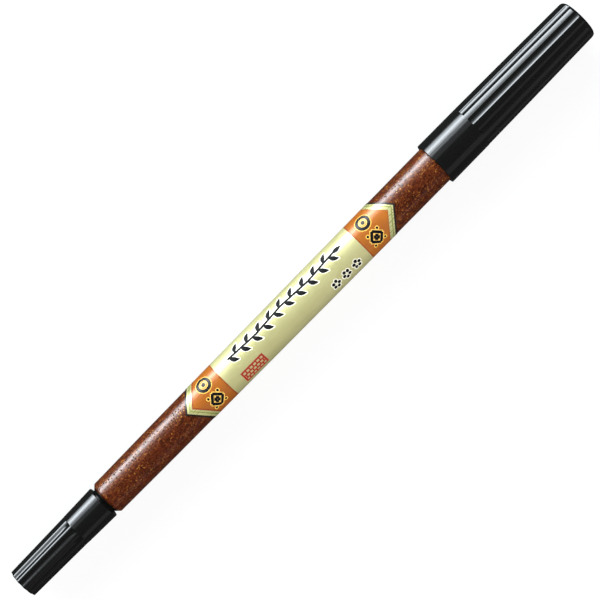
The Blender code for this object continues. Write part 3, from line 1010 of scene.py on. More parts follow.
@dataclass
class Label:
    """Printed sleeve with pointed ends, and the brush marks on it."""

    barrel: Barrel
    fine_tip: float = -36.2
    broad_tip: float = 30.1
    slope: float = 0.85
    turn: float = -4.5
    gap: float = 0.01
    film: float = 0.06
    ink: float = 0.012
    steps: int = 180
    overhang: float = 0.5
    cream_from: float = -24.6
    cream_to: float = 18.3
    cream_rim: float = 0.28
    fine_bands: tuple[tuple[float, Zone], ...] = (
        (0.55, Zone.OUTLINE), (1.22, Zone.PALE_GOLD), (1.50, Zone.OLIVE),
        (2.05, Zone.PALE_GOLD), (2.50, Zone.RUSSET))
    broad_bands: tuple[tuple[float, Zone], ...] = (
        (0.55, Zone.OUTLINE), (1.00, Zone.PALE_GOLD), (1.27, Zone.OLIVE),
        (2.15, Zone.PALE_GOLD), (2.32, Zone.RUSSET))

    def skin(self, station: float) -> float:
        """Return the label's outer radius at a station."""
        return self.barrel.radius_at(station) + self.gap + self.film

    def inset(self, place: Vector, fine_end: bool) -> float:
        """Give how far a point lies inside a pointed end, along the pen.

        Args:
            place: The point, in metres.
            fine_end: True for the fine end, False for the broad one.

        Returns:
            The distance in millimetres, negative outside the label.
        """
        aside = abs((Matrix.Rotation(-math.radians(self.turn), 3, "X") @ place).y) / MM
        station = place.x / MM
        if fine_end:
            return station - (self.fine_tip + self.slope * aside)
        return self.broad_tip - self.slope * aside - station

    def slit(self, work: bmesh.types.BMesh, tip: float, side: int, trim: bool) -> None:
        """Cut the sleeve along both slanted flanks of a pointed line.

        Args:
            work: The sleeve.
            tip: Station of the line's point.
            side: 1 where the point faces +X, or -1.
            trim: True to throw away what lies outside the line.
        """
        spin = Matrix.Rotation(math.radians(self.turn), 3, "X")
        for flank in (1.0, -1.0):
            across = spin @ Vector((side, flank * self.slope, 0.0)).normalized()
            bmesh.ops.bisect_plane(
                work, geom=list(work.verts) + list(work.edges) + list(work.faces),
                dist=WELD, plane_co=(tip * MM, 0.0, 0.0), plane_no=across, clear_outer=trim)

    def zone_at(self, place: Vector) -> Zone:
        """Find the printed area that a point of the sleeve lies in.

        Args:
            place: The point, in metres.

        Returns:
            Its area.
        """
        for bands, fine_end in ((self.fine_bands, True), (self.broad_bands, False)):
            depth = self.inset(place, fine_end)
            for limit, zone in bands:
                if depth < limit:
                    return zone
        station = place.x / MM
        if self.cream_from < station < self.cream_to:
            return Zone.CREAM
        past = max(self.cream_from - station, station - self.cream_to)
        return Zone.RUSSET if past < self.cream_rim else Zone.ORANGE

    def build_sleeve(self, finishes: Sequence[bpy.types.Material]) -> bpy.types.Object:
        """Build the printed sleeve.

        Args:
            finishes: One material for each zone.

        Returns:
            The finished piece.
        """
        ends = (self.broad_tip + self.overhang, self.barrel.outline[2].station,
                self.fine_tip - self.overhang)
        stops = [Stop(station, self.skin(station)) for station in ends]
        work = Lathe(stops, ring=False, steps=self.steps).spin()
        for tip, side, bands in ((self.fine_tip, -1, self.fine_bands),
                                 (self.broad_tip, 1, self.broad_bands)):
            self.slit(work, tip, side, trim=True)
            for limit, _ in bands:
                self.slit(work, tip - side * limit, side, trim=False)
        for station in (self.cream_from - self.cream_rim, self.cream_from, self.cream_to,
                        self.cream_to + self.cream_rim):
            bmesh.ops.bisect_plane(
                work, geom=list(work.verts) + list(work.edges) + list(work.faces),
                dist=WELD, plane_co=(station * MM, 0.0, 0.0), plane_no=(1.0, 0.0, 0.0))
        for face in work.faces:
            face.material_index = self.zone_at(face.calc_center_median()).value
        bmesh.ops.recalc_face_normals(work, faces=list(work.faces))
        if work.faces[0].normal.dot(Vector((0.0, *work.faces[0].calc_center_median().yz))) < 0.0:
            bmesh.ops.reverse_faces(work, faces=list(work.faces))
        bmesh.ops.solidify(work, geom=list(work.faces), thickness=self.film * MM)
        return make_piece(work, "label_sleeve", Body.PEN, finishes, ["label"])

    def wrap(self, station: float, around: float, lift: float) -> Vector:
        """Give a point on the label.

        Args:
            station: Place along the pen.
            around: Distance round the barrel from the front, towards -Y.
            lift: Height over the label.

        Returns:
            The point, in metres.
        """
        radius = self.skin(station) + lift
        angle = around / radius
        return Vector((station, -radius * math.sin(angle), radius * math.cos(angle))) * MM

    def build_marks(self, name: str, strokes: Sequence[Stroke], finish: bpy.types.Material,
                    layer: int, spare: float = 0.0) -> bpy.types.Object:
        """Print strokes on the label.

        Args:
            name: The piece's name.
            strokes: The marks.
            finish: Their ink.
            layer: How many ink layers lie under these.
            spare: Extra half-width, for a halo under a mark.

        Returns:
            The finished piece.
        """
        work = bmesh.new()
        lift = (layer + 1) * self.ink
        for stroke in strokes:
            made = bmesh.ops.create_grid(work, x_segments=16, y_segments=4, size=1.0)
            for corner in made["verts"]:
                along, across = (corner.co.x + 1.0) / 2, corner.co.y
                corner.co = self.wrap(*stroke.point(along, across, spare), lift)
        for face in work.faces:
            centre = face.calc_center_median()
            if face.normal.dot(Vector((0.0, centre.y, centre.z))) < 0.0:
                face.normal_flip()
        bmesh.ops.solidify(work, geom=list(work.faces), thickness=self.ink * 0.5 * MM)
        return make_piece(work, name, Body.PEN, [finish])


@dataclass
class LabelArt:
    """Generic ornament of the label: a sprig, blossoms, a lattice seal and end marks.

    A place on it is a station and a distance round the barrel from the front, towards -Y.
    """

    sprig_span: Span = (-20.8, 12.6)
    stem_line: float = -2.35
    stem_sway: float = 0.28
    stem_wave: float = 0.38
    stem_width: float = 0.52
    stem_pieces: int = 8
    stem_overlap: float = 0.05
    leaf_width: float = 1.08
    leaf_reach: float = 1.75
    leaf_root: float = 0.1
    leaf_rise: float = 1.95
    leaf_step: float = 1.75
    leaf_bow: float = 0.18
    first_leaf: float = 0.4
    last_leaf: float = 1.0
    bud_span: Span = (-0.2, 2.4)
    blossom_stations: tuple[float, float, float] = (8.3, 11.5, 14.7)
    blossom_line: float = 3.35
    blossom_turn: float = 0.5
    petals: int = 5
    petal_span: Span = (0.342, 1.242)
    petal_width: float = 0.84
    seal_stations: Span = (-20.9, -14.6)
    seal_lines: Span = (2.1, 4.9)
    seal_rows: int = 3
    seal_columns: int = 6
    seal_width: float = 0.46
    lattice_share: float = 0.8
    ring_line: float = -2.55
    ring_radius: float = 1.5
    ring_sides: int = 16
    ring_overlap: float = 0.06
    ring_width: float = 0.76
    dot_reach: float = 0.5
    dot_width: float = 1.05
    diamond_line: float = 2.15
    diamond_reach: Span = (1.6, 1.75)
    diamond_shares: Span = (1.0, 0.34)
    diamond_width: float = 0.684
    dab_place: Span = (1.45, 1.5)
    dab_reach: float = 0.3
    dab_width: float = 0.62

    def stem(self, station: float) -> float:
        """Return how far round the barrel the sprig's stem runs at a station."""
        return self.stem_line + self.stem_sway * math.sin(self.stem_wave * station)

    def sprig(self) -> list[Stroke]:
        """Draw the leafy sprig along the front.

        Returns:
            Its strokes.
        """
        strokes = []
        start, end = self.sprig_span
        step = (end - start) / self.stem_pieces
        for index in range(self.stem_pieces):
            first = start + step * index - self.stem_overlap
            last = start + step * (index + 1) + self.stem_overlap
            strokes.append(Stroke((first, self.stem(first)), (last, self.stem(last)),
                                  self.stem_width, kind=StrokeKind.BAR))
        station, side = start + self.first_leaf, 1
        while station < end - self.last_leaf:
            line = self.stem(station)
            strokes.append(Stroke((station, line + self.leaf_root * side),
                                  (station + self.leaf_reach, line + self.leaf_rise * side),
                                  self.leaf_width, self.leaf_bow * side))
            station, side = station + self.leaf_step, -side
        bud_start, bud_end = (end + span for span in self.bud_span)
        strokes.append(Stroke((bud_start, self.stem(end)), (bud_end, self.stem(bud_end)),
                              self.leaf_width))
        return strokes

    def blossoms(self) -> list[Stroke]:
        """Draw the small blossoms beside the sprig.

        Returns:
            Their strokes.
        """
        strokes = []
        for index, station in enumerate(self.blossom_stations):
            middle = Vector((station, self.blossom_line))
            for petal in range(self.petals):
                angle = math.tau * petal / self.petals + self.blossom_turn * index
                outward = Vector((math.cos(angle), math.sin(angle)))
                start, end = (tuple(middle + outward * span) for span in self.petal_span)
                strokes.append(Stroke(start, end, self.petal_width, kind=StrokeKind.DAB))
        return strokes

    def seal(self) -> list[Stroke]:
        """Draw the frame and the staggered lattice of the red seal.

        Returns:
            Their strokes.
        """
        (left, right), (top, bottom) = self.seal_stations, self.seal_lines
        edge, thin = self.seal_width / 2, self.seal_width * self.lattice_share
        bars = [((left - edge, level), (right + edge, level), self.seal_width)
                for level in (top, bottom)]
        bars += [((station, top), (station, bottom), self.seal_width)
                 for station in (left, right)]
        tall, wide = (bottom - top) / self.seal_rows, (right - left) / self.seal_columns
        for row in range(self.seal_rows):
            low = top + tall * row
            if row:
                bars.append(((left, low), (right, low), thin))
            for column in range(self.seal_columns):
                place = left + wide * (column + 0.5 * (row % 2))
                if place > left:
                    bars.append(((place, low), (place, low + tall), thin))
        return [Stroke(*bar, kind=StrokeKind.BAR) for bar in bars]

    def ring(self, station: float) -> list[Stroke]:
        """Draw a ring with a dot in it.

        Args:
            station: Its middle.

        Returns:
            Its strokes.
        """
        strokes = []
        for index in range(self.ring_sides):
            ends = []
            for share in (index - self.ring_overlap, index + 1.0 + self.ring_overlap):
                angle = math.tau * share / self.ring_sides
                ends.append((station + self.ring_radius * math.cos(angle),
                             self.ring_line + self.ring_radius * math.sin(angle)))
            strokes.append(Stroke(*ends, self.ring_width, kind=StrokeKind.BAR))
        strokes.append(Stroke((station - self.dot_reach, self.ring_line),
                              (station + self.dot_reach, self.ring_line), self.dot_width,
                              kind=StrokeKind.DAB))
        return strokes

    def diamond(self, station: float) -> list[Stroke]:
        """Draw two nested diamonds with a dab at each corner of a square round them.

        Args:
            station: Their middle.

        Returns:
            Their strokes.
        """
        strokes = []
        along, across = self.diamond_reach
        corners = ((along, 0.0), (0.0, across), (-along, 0.0), (0.0, -across))
        for (first, low), (last, high) in zip(corners, corners[1:] + corners[:1]):
            for share in self.diamond_shares:
                strokes.append(Stroke((station + first * share, self.diamond_line + low * share),
                                      (station + last * share, self.diamond_line + high * share),
                                      self.diamond_width, kind=StrokeKind.BAR))
        aside, above = self.dab_place
        for middle in (station - aside, station + aside):
            for level in (self.diamond_line - above, self.diamond_line + above):
                strokes.append(Stroke((middle - self.dab_reach, level),
                                      (middle + self.dab_reach, level), self.dab_width,
                                      kind=StrokeKind.DAB))
        return strokes

    def end_marks(self, station: float) -> list[Stroke]:
        """Return the ring and the diamonds on an orange end."""
        return self.ring(station) + self.diamond(station)


# ---------------------------------------------------------------------------------------
# Caps
# ---------------------------------------------------------------------------------------


@dataclass
class BroadCap:
    """Thick cap over the brush end, with its sealing liner."""

    outline: tuple[Stop, ...] = (Stop(43.2, 5.62), Stop(55.2, 5.56), Stop(74.0, 5.37),
                                 Stop(88.1, 5.19))
    mouth_bore: float = 4.91
    bore_step: float = 52.5
    bore_end: float = 87.8
    liner_bore: tuple[float, float] = (4.62, 4.34)
    liner_mouth: float = 57.0
    liner_end: float = 87.4
    liner_wall: float = 0.6
    liner_gap: float = 0.03
    corner: float = 0.9
    lip: float = 0.18
    mouth_slope: float = 0.12
    mouth_depth: float = 0.5
    gate_radius: float = 0.8
    gate_depth: float = 0.12
    gate_slope: float = 0.15
    taper_stations: Span = (74.0, 60.0)
    steps: int = 528
    liner_steps: int = 96
    grooves: Grooves = Flutes(shoulder=54.65, side=1, depth=0.28, hollow=1.94, turn=22.0,
                              run=0.14, keep_under=4.75, fillet=0.06)

    def skin(self, station: float) -> float:
        """Return the outline's radius at a station."""
        return taper_radius(self.outline, station)

    def build(self, finish: bpy.types.Material) -> bpy.types.Object:
        """Build the cap.

        Args:
            finish: Its plastic.

        Returns:
            The finished piece.
        """
        low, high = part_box("broad_cap")
        mouth, end = low[0] / MM, high[0] / MM
        stops = [Stop(end - self.gate_depth, 0.0), Stop(end - self.gate_depth, self.gate_radius, 0.05),
                 Stop(end, self.gate_radius + self.gate_slope, 0.05),
                 Stop(end, self.outline[-1].radius, self.corner)]
        for station in (*self.taper_stations, *self.grooves.shoulder_stations()):
            stops.append(Stop(station, self.skin(station)))
        stops += [Stop(mouth, self.outline[0].radius, self.lip),
                  Stop(mouth, self.mouth_bore + self.mouth_slope, 0.1),
                  Stop(mouth + self.mouth_depth, self.mouth_bore, 0.1),
                  Stop(self.bore_step, self.mouth_bore, 0.1),
                  Stop(self.bore_step, self.liner_bore[0], 0.05),
                  Stop(self.bore_end, self.liner_bore[1], 0.3), Stop(self.bore_end, 0.0)]
        work = Lathe(stops, ring=False, steps=self.steps).spin()
        self.grooves.carve(work, self.skin)
        return make_piece(work, "broad_cap_shell", Body.BROAD_CAP, [finish],
                          ["broad_cap"], crease=50.0)

    def build_liner(self, finish: bpy.types.Material) -> bpy.types.Object:
        """Build the sealing liner.

        Args:
            finish: Its plastic.

        Returns:
            The finished piece.
        """
        mouth, end = (radius - self.liner_gap for radius in self.liner_bore)
        wall = self.liner_wall
        stops = [Stop(self.liner_end, 0.0), Stop(self.liner_end, end, 0.3),
                 Stop(self.liner_mouth, mouth - 0.04, 0.1),
                 Stop(self.liner_mouth, mouth - wall * 0.8, 0.1),
                 Stop(self.liner_mouth + 0.8, mouth - wall - 0.04, 0.2),
                 Stop(self.liner_mouth + 2.4, mouth - wall - 0.06, 0.2),
                 Stop(self.liner_mouth + 3.0, mouth - wall - 0.02),
                 Stop(self.liner_end - wall, end - wall, 0.4), Stop(self.liner_end - wall, 0.0)]
        work = Lathe(stops, ring=False, steps=self.liner_steps).spin()
        return make_piece(work, "broad_cap_liner", Body.BROAD_CAP, [finish],
                          ["broad_inner_cap"])


@dataclass
class FineCap:
    """Slim cap over the fine tip, with its sealing liner."""

    outline: tuple[Stop, ...] = (Stop(-88.8, 3.72), Stop(-72.3, 4.00), Stop(-64.4, 4.18),
                                 Stop(-63.5, 4.22))
    mouth_bore: float = 3.27
    bore_step: float = -69.4
    bore_end: float = -87.8
    liner_bore: tuple[float, float] = (3.02, 2.86)
    liner_mouth: float = -69.9
    liner_end: float = -87.4
    liner_wall: float = 0.6
    liner_gap: float = 0.03
    corner: float = 0.22
    lip: float = 0.14
    mouth_slope: float = 0.12
    mouth_depth: float = 0.5
    gate_radius: float = 0.6
    gate_depth: float = 0.1
    gate_slope: float = 0.12
    taper_stations: Span = (-82.0, -76.0)
    steps: int = 528
    liner_steps: int = 96
    grooves: Grooves = Ripples(shoulder=-71.75, side=-1, depth=0.30, turn=-1.5, run=0.22,
                               keep_under=3.15)

    def skin(self, station: float) -> float:
        """Return the outline's radius at a station."""
        return taper_radius(self.outline, station)

    def build(self, finish: bpy.types.Material) -> bpy.types.Object:
        """Build the cap.

        Args:
            finish: Its plastic.

        Returns:
            The finished piece.
        """
        low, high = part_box("fine_cap")
        end, mouth = low[0] / MM, high[0] / MM
        stops = [Stop(end + self.gate_depth, 0.0), Stop(end + self.gate_depth, self.gate_radius, 0.05),
                 Stop(end, self.gate_radius + self.gate_slope, 0.05),
                 Stop(end, self.outline[0].radius, self.corner)]
        for station in (*self.taper_stations, *self.grooves.shoulder_stations(),
                        self.outline[2].station):
            stops.append(Stop(station, self.skin(station)))
        stops += [Stop(mouth, self.outline[-1].radius, self.lip),
                  Stop(mouth, self.mouth_bore + self.mouth_slope, 0.08),
                  Stop(mouth - self.mouth_depth, self.mouth_bore, 0.1),
                  Stop(self.bore_step, self.mouth_bore, 0.08),
                  Stop(self.bore_step, self.liner_bore[0], 0.05),
                  Stop(self.bore_end, self.liner_bore[1], 0.3), Stop(self.bore_end, 0.0)]
        work = Lathe(stops, ring=False, steps=self.steps).spin()
        self.grooves.carve(work, self.skin)
        return make_piece(work, "fine_cap_shell", Body.FINE_CAP, [finish],
                          ["fine_cap"], crease=50.0)

    def build_liner(self, finish: bpy.types.Material) -> bpy.types.Object:
        """Build the sealing liner.

        Args:
            finish: Its plastic.

        Returns:
            The finished piece.
        """
        mouth, end = (radius - self.liner_gap for radius in self.liner_bore)
        wall = self.liner_wall
        stops = [Stop(self.liner_end, 0.0), Stop(self.liner_end, end, 0.3),
                 Stop(self.liner_mouth, mouth - 0.02, 0.08),
                 Stop(self.liner_mouth, mouth - wall * 0.8, 0.08),
                 Stop(self.liner_mouth - 0.7, mouth - wall - 0.02, 0.15),
                 Stop(self.liner_end + wall, end - wall, 0.4), Stop(self.liner_end + wall, 0.0)]
        work = Lathe(stops, ring=False, steps=self.liner_steps).spin()
        return make_piece(work, "fine_cap_liner", Body.FINE_CAP, [finish],
                          ["fine_inner_cap"])


# ---------------------------------------------------------------------------------------
# Fine end
# ---------------------------------------------------------------------------------------


@dataclass
class FineEnd:
    """Collar, neck and nose of the fine end, with its nib and sleeve."""

    plug: float = 3.17
    collar: float = 3.86
    collar_front: float = -63.0
    neck: float = 3.14
    bead_station: float = -66.4
    bead: float = 0.05
    bead_reach: float = 0.4
    neck_end: float = -69.0
    nose_shoulder: float = 2.10
    nose_cone: float = -71.2
    nose_tip: float = 1.35
    opening: float = 0.93
    rod: float = 0.85
    taper_from: float = -77.6
    tip_radius: float = 0.22
    sleeve_bore: float = 1.42
    sleeve_front: float = -74.64
    flange_seat: float = -56.24
    flange_bore: float = 1.93
    flange: float = 1.90
    flange_length: float = 1.2
    seat_gap: float = 0.04
    press_gap: float = 0.03
    rod_stations: tuple[float, float, float] = (-60.0, -76.4, -77.0)
    taper_shares: tuple[float, float, float, float] = (0.25, 0.5, 0.75, 0.94)
    fullness: float = 0.07
    furrow_from: float = -76.6
    furrow_depth: float = 0.022
    furrow_count: int = 18
    furrow_wander: Span = (1.3, 5.0)

    def build_section(self, finish: bpy.types.Material) -> bpy.types.Object:
        """Build the black section.

        Args:
            finish: Its plastic.

        Returns:
            The finished piece.
        """
        low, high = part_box("fine_section")
        tip, back = low[0] / MM, high[0] / MM
        collar_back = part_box("barrel")[0][0] / MM - self.seat_gap
        bead_top = self.neck + self.bead
        stops = [Stop(back, self.plug, 0.2), Stop(collar_back, self.plug),
                 Stop(collar_back, self.collar, 0.05), Stop(self.collar_front, self.neck, 0.08),
                 Stop(self.bead_station + self.bead_reach, self.neck, 0.1),
                 Stop(self.bead_station, bead_top, 0.2),
                 Stop(self.bead_station - self.bead_reach, self.neck, 0.1),
                 Stop(self.neck_end, self.neck, 0.32),
                 Stop(self.neck_end, self.nose_shoulder, 0.12),
                 Stop(self.nose_cone, self.nose_shoulder, 0.5),
                 Stop(tip, self.nose_tip, 0.14), Stop(tip, self.opening, 0.06),
                 Stop(self.sleeve_front, self.opening), Stop(self.sleeve_front, self.sleeve_bore),
                 Stop(self.flange_seat, self.sleeve_bore), Stop(self.flange_seat, self.flange_bore),
                 Stop(back, self.flange_bore, 0.1)]
        work = Lathe(stops, ring=True, steps=112).spin()
        return make_piece(work, "fine_nose_section", Body.PEN, [finish],
                          ["fine_section"])

    def build_nib(self, finish: bpy.types.Material) -> bpy.types.Object:
        """Build the porous nib, with shallow furrows along its fibres.

        Args:
            finish: Its fibre.

        Returns:
            The finished piece.
        """
        low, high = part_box("fine_nib")
        tip, tail = low[0] / MM, high[0] / MM
        stops = [Stop(tail, 0.0), Stop(tail, self.rod, 0.25)]
        for station in (*self.rod_stations, self.taper_from):
            stops.append(Stop(station, self.rod))
        for share in self.taper_shares:
            station = self.taper_from + (tip - self.taper_from) * share
            fullness = self.fullness * math.sin(math.pi * share)
            stops.append(Stop(station, self.rod + (self.tip_radius - self.rod) * share + fullness))
        stops += [Stop(tip, self.tip_radius, 0.14), Stop(tip, 0.0)]
        work = Lathe(stops, ring=False, steps=72).spin()
        wander, waves = self.furrow_wander
        for corner in work.verts:
            radius = math.hypot(corner.co.y, corner.co.z) / MM
            if radius < self.tip_radius * 0.8 or corner.co.x / MM > self.furrow_from:
                continue
            angle = math.atan2(corner.co.y, corner.co.z)
            furrow = 0.5 + 0.5 * math.sin(self.furrow_count * angle
                                          + wander * math.sin(waves * angle))
            factor = 1.0 - self.furrow_depth * furrow
            corner.co.y *= factor
            corner.co.z *= factor
        return make_piece(work, "fine_nib_rod", Body.PEN, [finish], ["fine_nib"])

    def build_sleeve(self, finish: bpy.types.Material) -> bpy.types.Object:
        """Build the flanged sleeve round the nib.

        Args:
            finish: Its plastic.

        Returns:
            The finished piece.
        """
        low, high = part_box("fine_nib_sleeve")
        front, back = low[0] / MM, high[0] / MM
        flange_front = back - self.flange_length
        outer, inner = self.sleeve_bore - self.press_gap, self.rod + self.press_gap
        stops = [Stop(back, self.flange, 0.15), Stop(flange_front, self.flange, 0.12),
                 Stop(flange_front, outer, 0.1), Stop(front, outer, 0.12),
                 Stop(front, inner, 0.05), Stop(back, inner, 0.1)]
        work = Lathe(stops, ring=True, steps=72).spin()
        return make_piece(work, "fine_nib_holder", Body.PEN, [finish],
                          ["fine_nib_sleeve"])


# ---------------------------------------------------------------------------------------
# Broad end
# ---------------------------------------------------------------------------------------


@dataclass
class BroadEnd:
    """Plug, flange, neck and nose of the broad end, and what feeds its brush."""

    plug: float = 3.82
    flange: float = 4.55
    flange_length: float = 1.3
    neck: float = 4.15
    neck_end: float = 56.2
    seal: float = 3.84
    seal_end: float = 58.6
    nose: float = 2.80
    bore: float = 3.10
    opening: float = 2.38
    brush_seat: float = 56.7
    seat_gap: float = 0.04
    press_gap: float = 0.03
    neck_slope: float = 0.3
    groove_top: Span = (53.4, 52.6)
    groove_floor: Span = (53.2, 52.8)
    groove_depth: float = 0.12
    ring_bore: float = 1.30
    tube_waist: float = 1.80
    tube_rib: float = 1.5
    tube_bore: float = 0.95
    wick: float = 0.90

    def build_section(self, finish: bpy.types.Material) -> bpy.types.Object:
        """Build the black section.

        Args:
            finish: Its plastic.

        Returns:
            The finished piece.
        """
        low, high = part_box("broad_section")
        back, tip = low[0] / MM, high[0] / MM
        flange_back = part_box("barrel")[1][0] / MM + self.seat_gap
        flange_front = flange_back + self.flange_length
        groove = self.neck - self.groove_depth
        stops = [Stop(tip, self.opening, 0.1), Stop(tip, self.nose, 0.22),
                 Stop(self.seal_end, self.seal, 0.4), Stop(self.neck_end, self.seal, 0.1),
                 Stop(self.neck_end - self.neck_slope, self.neck, 0.12),
                 Stop(self.groove_top[0], self.neck, 0.05), Stop(self.groove_floor[0], groove, 0.05),
                 Stop(self.groove_floor[1], groove, 0.05), Stop(self.groove_top[1], self.neck, 0.05),
                 Stop(flange_front, self.neck, 0.1), Stop(flange_front, self.flange, 0.15),
                 Stop(flange_back, self.flange, 0.15), Stop(flange_back, self.plug),
                 Stop(back, self.plug, 0.2), Stop(back, self.bore, 0.1),
                 Stop(self.brush_seat, self.bore), Stop(self.brush_seat, self.opening)]
        work = Lathe(stops, ring=True, steps=144).spin()
        return make_piece(work, "broad_nose_section", Body.PEN, [finish],
                          ["broad_section"])

    def build_ring(self, finish: bpy.types.Material) -> bpy.types.Object:
        """Build the clamp ring behind the brush root.

        Args:
            finish: Its plastic.

        Returns:
            The finished piece.
        """
        low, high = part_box("brush_clamp_ring")
        back, front = low[0] / MM, high[0] / MM
        outer = self.bore - self.press_gap
        stops = [Stop(front, outer, 0.2), Stop(back, outer, 0.15), Stop(back, self.ring_bore, 0.1),
                 Stop(front, self.ring_bore, 0.1)]
        work = Lathe(stops, ring=True, steps=96).spin()
        return make_piece(work, "brush_root_clamp", Body.PEN, [finish],
                          ["brush_clamp_ring"])

    def build_tube(self, finish: bpy.types.Material) -> bpy.types.Object:
        """Build the ribbed tube that guides the wick.

        Args:
            finish: Its plastic.

        Returns:
            The finished piece.
        """
        low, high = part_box("brush_feed_tube")
        back, front = low[0] / MM, high[0] / MM
        outer, waist = self.bore - self.press_gap, self.tube_waist
        front_rib, back_rib = front - self.tube_rib, back + self.tube_rib
        stops = [Stop(front, outer, 0.15), Stop(front_rib, outer, 0.15),
                 Stop(front_rib, waist, 0.2), Stop(back_rib, waist, 0.2),
                 Stop(back_rib, outer, 0.15), Stop(back, outer, 0.15),
                 Stop(back, self.tube_bore, 0.1), Stop(front, self.tube_bore, 0.1)]
        work = Lathe(stops, ring=True, steps=96).spin()
        return make_piece(work, "brush_feed_guide", Body.PEN, [finish],
                          ["brush_feed_tube"])

    def build_wick(self, finish: bpy.types.Material) -> bpy.types.Object:
        """Build the fibre wick.

        Args:
            finish: Its fibre.

        Returns:
            The finished piece.
        """
        low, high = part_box("brush_feed_wick")
        back, front = low[0] / MM, high[0] / MM
        stops = [Stop(front, 0.0), Stop(front, self.wick, 0.12), Stop(back, self.wick, 0.12),
                 Stop(back, 0.0)]
        work = Lathe(stops, ring=False, steps=48).spin()
        return make_piece(work, "brush_feed_strand", Body.PEN, [finish],
                          ["brush_feed_wick"])


@dataclass
class BrushHead:
    """Bundle of tapered filaments that grow from one fused root."""

    root: float = 3.0
    seat: float = 56.66
    stem: float = 2.22
    belly_station: float = 66.5
    belly: float = 2.36
    filament: float = 0.115
    rings: int = 9
    sides: int = 5
    count: int = 330
    seed: int = 11
    tip_fullness: float = 0.88
    core_share: float = 0.82
    core_shares: tuple[float, ...] = (0.0, 0.2, 0.42, 0.55, 0.66, 0.76, 0.85, 0.92)
    core_end: float = 0.965
    inner_layer: float = 0.62
    scatter: float = 5.5
    scatter_power: float = 2.2
    tip_spare: float = 0.1
    sway: float = 0.05
    buried: float = 0.6
    thinning: float = 0.86
    thin_from: float = 0.35
    tip_gather: float = 0.25

    def spread(self, station: float, tip: float) -> float:
        """Give how wide the bundle is at a station.

        Args:
            station: Place along the pen.
            tip: Station of the brush's point.

        Returns:
            The outer radius of the bundle.
        """
        if station < self.belly_station:
            share = (station - self.seat) / (self.belly_station - self.seat)
            return self.stem + (self.belly - self.stem) * ease(share)
        share = (tip - station) / (tip - self.belly_station)
        return self.belly * math.sin(max(share, 0.0) * math.pi / 2) ** self.tip_fullness

    def build_root(self, finish: bpy.types.Material) -> bpy.types.Object:
        """Build the fused disc that the filaments grow from, with their common core.

        Args:
            finish: Its material.

        Returns:
            The finished piece.
        """
        low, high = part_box("brush_head")
        back, tip = low[0] / MM, high[0] / MM
        stops = [Stop(back, 0.0), Stop(back, self.root, 0.12), Stop(self.seat, self.root, 0.12)]
        for share in self.core_shares:
            station = self.seat + (tip - self.seat) * share
            stops.append(Stop(station, self.spread(station, tip) * self.core_share))
        stops.append(Stop(self.seat + (tip - self.seat) * self.core_end, 0.0))
        work = Lathe(stops, ring=False, steps=64).spin()
        return make_piece(work, "brush_fused_root", Body.PEN, [finish],
                          ["brush_head"])

    def build_filaments(self, finish: bpy.types.Material) -> bpy.types.Object:
        """Build the outer filaments of the bundle.

        Args:
            finish: Their material.

        Returns:
            The finished piece.
        """
        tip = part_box("brush_head")[1][0] / MM
        draw = random.Random(self.seed)
        work = bmesh.new()
        for index in range(self.count):
            layer = math.sqrt(self.inner_layer
                              + (1.0 - self.inner_layer) * (index + 0.5) / self.count)
            angle = index * math.pi * (3.0 - math.sqrt(5.0))
            short = draw.uniform(0.0, 1.0) ** self.scatter_power * self.scatter
            reach = tip - short - (0.0 if index % 7 else self.tip_spare)
            sway = draw.uniform(-self.sway, self.sway)
            self.add_filament(work, layer, angle, reach, sway, tip)
        bmesh.ops.holes_fill(work, edges=[edge for edge in work.edges if edge.is_boundary],
                             sides=self.sides)
        bmesh.ops.recalc_face_normals(work, faces=list(work.faces))
        return make_piece(work, "brush_filaments", Body.PEN, [finish])

    def add_filament(self, work: bmesh.types.BMesh, layer: float, angle: float, reach: float,
                     sway: float, tip: float) -> None:
        """Add one filament.

        Args:
            work: The bundle's mesh.
            layer: Its distance from the middle, as a share of the bundle's radius.
            angle: Its place round the axis, in radians.
            reach: Station of its own tip.
            sway: How far it turns round the axis by its tip, in radians.
            tip: Station of the brush's point.
        """
        made = bmesh.ops.create_grid(work, x_segments=self.rings, y_segments=self.sides, size=1.0)
        start = self.seat - self.buried
        seam = []
        for corner in made["verts"]:
            share, turn = (corner.co.x + 1.0) / 2, (corner.co.y + 1.0) / 2
            station = start + (reach - start) * share
            thin = ease(max(share - self.thin_from, 0.0) / (1.0 - self.thin_from))
            width = self.filament * (1.0 - self.thinning * thin)
            far = max(self.spread(station, tip + self.tip_gather) * layer - width, 0.0)
            heading = angle + sway * share * share
            spin = math.tau * turn
            offset = Vector((0.0, math.cos(spin), math.sin(spin))) * width
            corner.co = (Vector((station, far * math.cos(heading), far * math.sin(heading)))
                         + offset) * MM
            seam.append(corner)
        bmesh.ops.remove_doubles(work, verts=seam, dist=WELD)


# ---------------------------------------------------------------------------------------
# Reservoir
# ---------------------------------------------------------------------------------------


